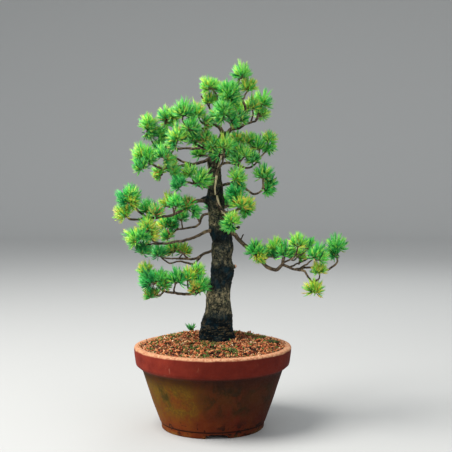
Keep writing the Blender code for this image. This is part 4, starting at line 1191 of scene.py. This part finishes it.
def build_moss(material):
    """The cushion of moss, all fine pointed leaves."""
    mesh = Mesh()
    rng = np.random.default_rng(3)
    x, y = (place * MM for place in MOSS_PLACE)
    long, wide, high = (side * MM for side in MOSS_SIZE)
    middle = surface_point(x, y, 0.5 * MM)
    for _ in range(MOSS_LEAVES):
        turn, share = rng.uniform(0, 2 * math.pi), math.sqrt(rng.random())
        across = Vector((math.cos(turn) * long * share, math.sin(turn) * wide * share, 0))
        up = high * math.sqrt(max(0.0, 1 - share * share)) * (0.8 + 0.3 * noise.noise(across * 200))
        foot = middle + across + Vector((0, 0, up - 2.2 * MM))
        rise = Vector((rng.normal(0, 0.7), rng.normal(0, 0.7), rng.uniform(2, 3.6))) * MM
        leaflet(mesh, foot, foot + across * 0.12 + rise, 1.2 * MM, rng.integers(0, 8), rng)
    return mesh.build("moss_leaves", material, has_uv=True)


def build_sprouts(material, name, places):
    """Small green seedlings: (x, y, height, leaves), in millimetres from the pot's axis."""
    mesh = Mesh()
    rng = np.random.default_rng(len(name))
    for x, y, height, leaves in places:
        foot = surface_point(x * MM, y * MM, -1 * MM)
        for k in range(leaves):
            turn = k * 2.4 + rng.normal(0, 0.3)
            out = Vector((math.cos(turn), math.sin(turn), 0)) * rng.uniform(0.35, 0.9)
            start = foot + out * 0.6 * MM + Vector((0, 0, rng.uniform(0, 0.45) * height * MM))
            tip = foot + (out * 0.8 + Vector((0, 0, rng.uniform(0.7, 1.05)))) * height * MM
            leaflet(mesh, start, tip, rng.uniform(0.14, 0.22) * height * MM, rng.integers(8, 16), rng)
    return mesh.build(name, material, has_uv=True)


# ---------------------------------------------------------------- materials

def clay_rim(s, place, broad, middle, fine, speck):
    """The bare brick-red band, with pale specks, drips of lime and painted shade on its right side."""
    x = s.split(place)[0]
    rim = s.ramp(middle, ((0.3, "8e3224"), (0.5, "a04030"), (0.7, "b04e3a")))
    rim = s.mix(s.range(fine, 0.54, 0.74, 0, 0.25), rim, "bc6850")
    rim = s.mix(s.range(speck, 0.64, 0.76, 0, 0.35), rim, "cf9278")
    drips = s.range(s.noise(s.stretched(place, (1, 1, 0.25)), 130, 2), 0.68, 0.74)
    rim = s.mix(s.times(drips, 0.4), rim, "d8a890")
    # Painted shade: the rim darkens towards its right side.
    return s.mix(s.range(s.plus(s.times(x, 5.0), broad), 0.35, 1.15, 0, 0.5), rim, "7a241a")


def clay_body(s, place, broad, middle, fine):
    """Orange-brown clay under a film of algae, yellow-green on the left, with painted shade on the right.
    """
    x, y, z = s.split(place)
    body = s.ramp(middle, ((0.28, "8a3a18"), (0.5, "a24c20"), (0.72, "b45e28")))
    film = s.times(s.range(z, 0.02, 0.09, 0.15, 0.8), s.range(middle, 0.3, 0.6, 0.6, 1.0))
    body = s.mix(film, body, s.ramp(broad, ((0.35, "6e4a18"), (0.65, "8c6420"))))
    side = s.plus(s.times(x, -6.5), s.sway(broad, 2.2))
    algae = s.times(
        s.range(side, 0.10, 1.15, 0.0, 0.85), s.range(z, 0.015, 0.06, 0.35, 1.0),
        s.range(middle, 0.32, 0.58, 0.5, 1.0),
    )
    body = s.mix(algae, body, s.ramp(fine, ((0.3, "6a6418"), (0.5, "8a7c22"), (0.72, "a89a3c"))))
    blots = s.noise(s.stretched(place, (1, 1, 0.75)), 24, 4, 0.6, 0.3)
    low = s.times(s.range(z, 0.035, 0.06), s.range(z, 0.095, 0.118, 1, 0.2))
    body = s.mix(s.times(s.range(blots, 0.50, 0.66, 0, 0.85), low), body, "3c4a12")
    red = s.times(s.range(s.noise(place, 19, 3), 0.52, 0.66, 0, 0.7), s.range(z, 0.0, 0.13, 1, 0.45))
    body = s.mix(red, body, "9a3a20")
    # The mossy stain down the middle of the front, and the rusty one beside its foot.
    front = s.range(y, -0.09, -0.04, 1, 0)
    ragged = s.range(s.noise(s.stretched(place, (1, 1, 0.6)), 46, 4, 0.6, 0.4), 0.40, 0.60)
    stain = s.times(s.range(s.away(x, AXIS.x + 0.024), 0.018, 0.062, 1, 0), s.range(z, 0.034, 0.066))
    body = s.mix(s.times(stain, ragged, front, 0.8), body, "35401a")
    rust = s.times(s.range(s.away(x, AXIS.x + 0.052), 0.008, 0.026, 1, 0), s.range(z, 0.045, 0.062, 1, 0))
    body = s.mix(s.times(rust, ragged, front, 0.7), body, "a8402a")
    # Painted shade: the body darkens towards its right side, less so near its foot.
    painted_right_shade = s.range(s.plus(s.times(x, 6.0), s.sway(broad, 1.2)), -0.25, 0.75, 0, 0.62)
    body = s.mix(s.times(painted_right_shade, s.range(z, 0.0, 0.05, 0.6, 1)), body, "36190f")
    # Painted shadow: the body is darkened just under the rim.
    under = s.times(s.range(z, 0.088, 0.122, 0, 0.85), s.range(middle, 0.3, 0.6, 0.75, 1.0))
    body = s.mix(under, body, "461a10")
    # Black mould, painted shade in the groove over the foot, and pale lime along the foot.
    spread = s.plus(s.noise(place, 75, 3, distortion=1.0), s.range(x, AXIS.x, AXIS.x + 0.05, 0, 0.06))
    mould = s.times(s.range(spread, 0.57, 0.63, 0, 0.9), s.range(z, 0.012, 0.042, 1, 0))
    body = s.mix(mould, body, "14160f")
    body = s.mix(s.range(s.away(z, GROOVE_HEIGHT), 0.0006, 0.0024, 0.85, 0), body, "120d09")
    return s.mix(s.times(s.range(z, 0.0, 0.009, 0.7, 0), s.range(middle, 0.45, 0.6)), body, "b39a70")


def clay_material():
    """Old brick-red clay: a bare rim with a lime-crusted lip, and a body green with algae."""
    s = Shader("clay", roughness=0.82, specular=0.16)
    place = s.place()
    x, _, z = s.split(place)
    broad = s.noise(place, 14, 3)
    middle = s.noise(place, 45, 5)
    fine = s.noise(place, 240, 5)
    speck = s.noise(place, 900, 3)
    rim = clay_rim(s, place, broad, middle, fine, speck)
    body = clay_body(s, place, broad, middle, fine)
    # Painted shade: the body and rim darken from the pot's left side towards its front and right, as light
    # from the left would leave them.
    painted_side_shade = s.range(x, -0.15, 0.0)
    body = s.mix(1.0, body, s.ramp(painted_side_shade, ((0.0, "ccae72"), (1.0, "887458"))), "MULTIPLY")
    rim = s.mix(1.0, rim, s.ramp(painted_side_shade, ((0.0, "c8a396"), (0.7, "9c7562"))), "MULTIPLY")
    # Lime that the water leaves on the lip.
    lime = s.range(s.plus(z, s.sway(middle, 0.005)), *LIME_HEIGHTS)
    crust = s.ramp(fine, ((0.3, "a8684a"), (0.5, "c28a66"), (0.68, "d2a680")))
    rim = s.mix(s.times(lime, s.range(fine, 0.25, 0.55, 0.7, 1.0)), rim, crust)
    colour = s.mix(s.range(z, *RIM_FOOT_HEIGHTS), body, rim)
    colour = s.mix(s.range(speck, 0.4, 0.6, 0.125, 0), colour, "5a2a1a")
    s.rough(s.range(fine, 0.3, 0.7, 0.72, 0.92))
    s.bump(s.plus(fine, s.times(speck, 0.6)), 0.35, 0.0006)
    return s.colour(colour)


def bark_material():
    """The trunk's flaky bark: nearly black in its cracks and old branch whorls, tan on its plates, with
    painted shadow at its foot.
    """
    s = Shader("flaky_bark", roughness=0.9, specular=0.12)
    place = s.place()
    _, _, z = s.split(place)
    crack = s.mesh_value("crack")
    broad = s.noise(place, 26, 3)
    flakes = s.noise(s.stretched(place, (1, 1, 0.7)), 150, 5, 0.72)
    stipple = s.noise(place, 620, 4, 0.7)
    # How pale the bark is at each height: the whorls, where limbs were shed, stay dark, and so does the
    # trunk's foot, as painted shadow.
    wavy = s.plus(z, s.sway(broad, 0.045))
    light = s.split(s.ramp(s.times(s.minus(wavy, WHORL_FOOT), 1 / WHORL_SPAN), WHORL_AND_FOOT_SHADOW_STOPS))[0]
    deep = s.ramp(flakes, ((0.38, "01080c"), (0.55, "03141a"), (0.64, "0b2026"), (0.74, "404438")))
    pale = s.ramp(flakes, ((0.39, "0c1a1b"), (0.47, "343b31"), (0.54, "6c664e"), (0.63, "bcac84")))
    colour = s.mix(light, deep, pale)
    colour = s.mix(s.times(s.range(stipple, 0.54, 0.60), light, 0.7), colour, "c4b58c")
    pits = s.range(s.noise(place, 520, 3, 0.7), 0.54, 0.62, 0, 0.75)
    colour = s.mix(s.times(pits, s.plus(light, 0.2)), colour, "1d211d")
    # Plates that lie across the foot of the trunk have tan edges, painted as highlights where light would
    # catch them.
    strata = s.noise(s.stretched(place, (1, 1, 3.2)), 52, 4, 0.65, 1.1)
    edge = s.times(s.range(strata, 0.53, 0.57), s.range(strata, 0.57, 0.63, 1, 0))
    colour = s.mix(s.times(edge, s.range(z, 0.205, 0.228, 1, 0), 0.45), colour, "8f7c58")
    # Darker cracks, darkest near the foot, where the extra dark is painted shadow.
    split = s.times(s.range(crack, 0.25, 0.8), s.range(z, 0.19, 0.24, 0.9, 0.45))
    colour = s.mix(split, colour, "090e10")
    # Painted shade colour: a teal tint laid on the dark bands.
    teal = s.times(s.range(s.noise(place, 60, 3), 0.46, 0.62, 0, 0.6), s.minus(1.0, light))
    colour = s.mix(teal, colour, "0c2a34")
    lichen = s.times(s.range(s.noise(place, 95, 3), 0.64, 0.70, 0, 0.5), light)
    colour = s.mix(lichen, colour, "8d9460")
    s.bump(s.plus(flakes, s.times(stipple, 0.5)), 0.55, 0.0014)
    return s.colour(colour)


def dead_wood_material():
    """Bare wood, bleached cream, with fine grey grain and a pinker heart."""
    s = Shader("dead_wood", roughness=0.75, specular=0.25)
    place = s.place()
    grain = s.noise(s.stretched(place, (1, 1, 0.15)), 700, 4)
    colour = s.ramp(grain, ((0.3, "8a7456"), (0.45, "c9b48c"), (0.62, "eadbb6")))
    colour = s.mix(s.range(s.split(place)[2], 0.34, 0.36, 0.7, 0), colour, "c88a72")
    s.bump(grain, 0.4, 0.0006)
    return s.colour(colour)


def limb_material():
    """Limbs and twigs: grey-brown bark with paler ridges and dark old needle scars."""
    s = Shader("limb_bark", roughness=0.84, specular=0.25)
    place = s.place()
    crack = s.mesh_value("crack")
    patches = s.noise(place, 55, 4)
    scales = s.noise(place, 330, 5, 0.65)
    colour = s.ramp(scales, ((0.32, "1f1b19"), (0.46, "43382f"), (0.58, "75624c"), (0.70, "ac9676")))
    colour = s.mix(s.range(patches, 0.54, 0.66, 0, 0.85), colour, "161818")
    colour = s.mix(s.range(s.noise(place, 38, 2), 0.52, 0.66, 0, 0.6), colour, "a48c6c")
    colour = s.mix(s.range(crack, 0.25, 0.85, 0, 0.55), colour, "15120f")
    s.bump(scales, 0.5, 0.001)
    return s.colour(colour)


def needle_material():
    """Needles: each bundle has its own green, pale at the sheath and yellower at the point."""
    s = Shader("needles", roughness=0.42, specular=0.45)
    along, band, _ = s.uv()
    codes = [code for tone in TONES for code in NEEDLE_SHADES[tone]]
    colour = s.ramp(band, [(i / NEEDLE_BANDS, code) for i, code in enumerate(codes)], "CONSTANT")
    foot = s.range(along, 0.02, 0.14, 0.6, 0)
    colour = s.mix(foot, colour, "8a7c40")
    colour = s.mix(s.range(along, 0.25, 0.9, 0, 0.30), colour, "b9dc58", "SOFT_LIGHT")
    colour = s.mix(s.range(along, 0.93, 0.99, 0, 0.5), colour, "b59a4a")
    return s.colour(colour)


def band_material(name, codes, roughness=0.85):
    """Small loose things: V picks the colour of each, and U mottles it."""
    s = Shader(name, roughness=roughness, specular=0.25)
    along, band, _ = s.uv()
    colour = s.ramp(band, [(i / len(codes), code) for i, code in enumerate(codes)], "CONSTANT")
    colour = s.mix(s.range(along, 0.0, 1.0, 0.0, 0.45), colour, "2a1a12")
    colour = s.mix(s.range(along, 0.0, 0.3, 0.25, 0.0), colour, "f0d8b8")
    return s.colour(colour)


def bed_material():
    """The dust under the chips: dark crumbs, and drier and paler along the pot's wall."""
    s = Shader("mulch_dust", roughness=0.95, specular=0.15)
    place = s.place()
    crumbs = s.noise(place, 300, 5, 0.65)
    colour = s.ramp(
        crumbs, ((0.3, "1c100c"), (0.45, "3d221a"), (0.58, "6e3e2a"), (0.7, "a2664a"), (0.82, "c99468"))
    )
    colour = s.mix(s.range(s.noise(place, 50, 3), 0.56, 0.66, 0, 0.5), colour, "3a2a18")
    colour = s.mix(s.range(s.noise(place, 70, 3), 0.60, 0.68, 0, 0.6), colour, "4a5226")
    x, y, _ = s.split(place)
    x = s.minus(x, AXIS.x)
    reach = s.math("SQRT", s.plus(s.times(x, x), s.times(y, y)))
    dry = s.ramp(crumbs, ((0.3, "b07650"), (0.6, "e8b48e")))
    colour = s.mix(s.range(reach, 0.129, 0.137, 0, 0.9), colour, dry)
    s.bump(crumbs, 0.8, 0.002)
    return s.colour(colour)


def soil_material():
    """Damp grains of soil, which show through the drain hole's mesh."""
    s = Shader("damp_soil_grains", roughness=0.95, specular=0.2)
    place = s.place()
    grains = s.cells(place, 420)
    colour = s.ramp(grains, ((0.1, "5a4534"), (0.45, "33241a"), (0.8, "1a120d")))
    colour = s.mix(s.range(s.noise(place, 160, 4), 0.6, 0.7, 0, 0.6), colour, "8a7256")
    s.bump(grains, 0.8, 0.002)
    return s.colour(colour)


def plastic_material():
    """The black plastic mesh over the drain hole, a little dusty."""
    s = Shader("black_plastic_mesh", roughness=0.5, specular=0.4)
    place = s.place()
    colour = s.ramp(s.noise(place, 180, 4), ((0.3, "0b0b0c"), (0.6, "1c1b1a"), (0.75, "3a2f25")))
    s.rough(s.range(s.noise(place, 90, 3), 0.3, 0.7, 0.4, 0.75))
    return s.colour(colour)


# ---------------------------------------------------------------- the studio

def area_light(name, place, size, power, tint):
    data = bpy.data.lights.new(name, "AREA")
    data.shape = "DISK"
    data.size = size
    data.energy = power
    data.color = tint
    lamp = bpy.data.objects.new(name, data)
    lamp.location = place
    lamp.rotation_euler = (Vector(place) - Vector(LIGHTS_AIM)).to_track_quat("Z", "Y").to_euler()
    bpy.context.scene.collection.objects.link(lamp)


def studio():
    """A pale floor that sweeps up into a backdrop, a big soft light from the upper left, and a camera."""
    mesh = bpy.data.meshes.new("floor")
    wide, front, back, tall, bend, steps = 30, -30, 9.0, 12, 3.0, 24
    profile = [(front, 0), (back - bend, 0)]
    profile += [
        (back - bend + bend * math.sin(a), bend - bend * math.cos(a))
        for a in (math.pi / 2 * i / steps for i in range(1, steps + 1))
    ]
    profile.append((back, tall))
    points = [(x, y, z) for y, z in profile for x in (-wide, wide)]
    faces = [(2 * i, 2 * i + 1, 2 * i + 3, 2 * i + 2) for i in range(len(profile) - 1)]
    mesh.from_pydata(points, [], faces)
    mesh.shade_smooth()
    paper = Shader("floor_paper", roughness=0.9, specular=0.2)
    mesh.materials.append(paper.colour(srgb("b6b6b4")))
    floor = bpy.data.objects.new("floor", mesh)
    bpy.context.scene.collection.objects.link(floor)

    area_light("key", (-1.7, -0.75, 2.9), 2.2, KEY_POWER, (1, 0.985, 0.96))
    area_light("fill", (2.4, -2.2, 1.2), 2.5, FILL_POWER, (0.93, 0.97, 1))
    area_light("back", (0.8, 2.4, 2.4), 2.0, BACK_POWER, (0.95, 0.98, 1))
    world = bpy.data.worlds.new("studio")
    world.use_nodes = True
    sky = world.node_tree.nodes["Background"]
    sky.inputs["Color"].default_value = srgb("d2d6da")
    sky.inputs["Strength"].default_value = WORLD_STRENGTH
    scene = bpy.context.scene
    scene.world = world
    scene.view_settings.view_transform = "Standard"

    camera = bpy.data.cameras.new("camera")
    camera.sensor_width = 36
    camera.lens = CAMERA_LENS
    camera.shift_y = CAMERA_SHIFT
    eye = bpy.data.objects.new("camera", camera)
    eye.location = AXIS + Vector(CAMERA_PLACE)
    eye.rotation_euler = (math.radians(90 - CAMERA_PITCH), 0, 0)
    scene.collection.objects.link(eye)
    scene.camera = eye


def place_on(obj, node, *more):
    """obj stands for these CAD nodes: it hangs from the root body, and the nodes are hidden."""
    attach(obj, "root")
    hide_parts(node, *more)


def dress(node, material):
    """Keeps a CAD node's own shape and gives it a new material."""
    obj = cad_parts[node]
    obj.data.materials.clear()
    obj.data.materials.append(material)


def shoots_of(limb):
    """(middle, way, half size) of every tuft that grows on a limb."""
    found = []
    for owner, tufts in PADS.values():
        if owner != limb:
            continue
        for (x, y, z, size, _), way in zip(tufts, brush_ways(LIMBS[limb], tufts)):
            found.append((plant_point((x, y, z)), way, size * MM))
    return found


def main():
    place_on(build_pot(clay_material()), "pot")
    place_on(build_mulch_bed(bed_material()), "bark_mulch")
    chips = build_chips(band_material("chips", CHIP_SHADES))
    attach(chips, "root")
    green = band_material("small_leaves", LEAF_SHADES, roughness=0.6)
    place_on(build_moss(green), "moss_patch")
    place_on(build_sprouts(green, "weed", (WEED,)), "back_weed")
    sprouts = build_sprouts(green, "seedlings", SEEDLINGS)
    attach(sprouts, "root")
    dress("soil", soil_material())
    dress("drain_mesh", plastic_material())
    place_on(build_trunk(bark_material()), "trunk")
    dead = build_dead_wood(dead_wood_material())
    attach(dead, "root")
    wood = limb_material()
    for name, stems in LIMBS.items():
        place_on(build_limb(name, stems, shoots_of(name), wood), name)
    needles = needle_material()
    for name, (limb, tufts) in PADS.items():
        place_on(build_pad(name, limb, tufts, needles), name)
    studio()


main()
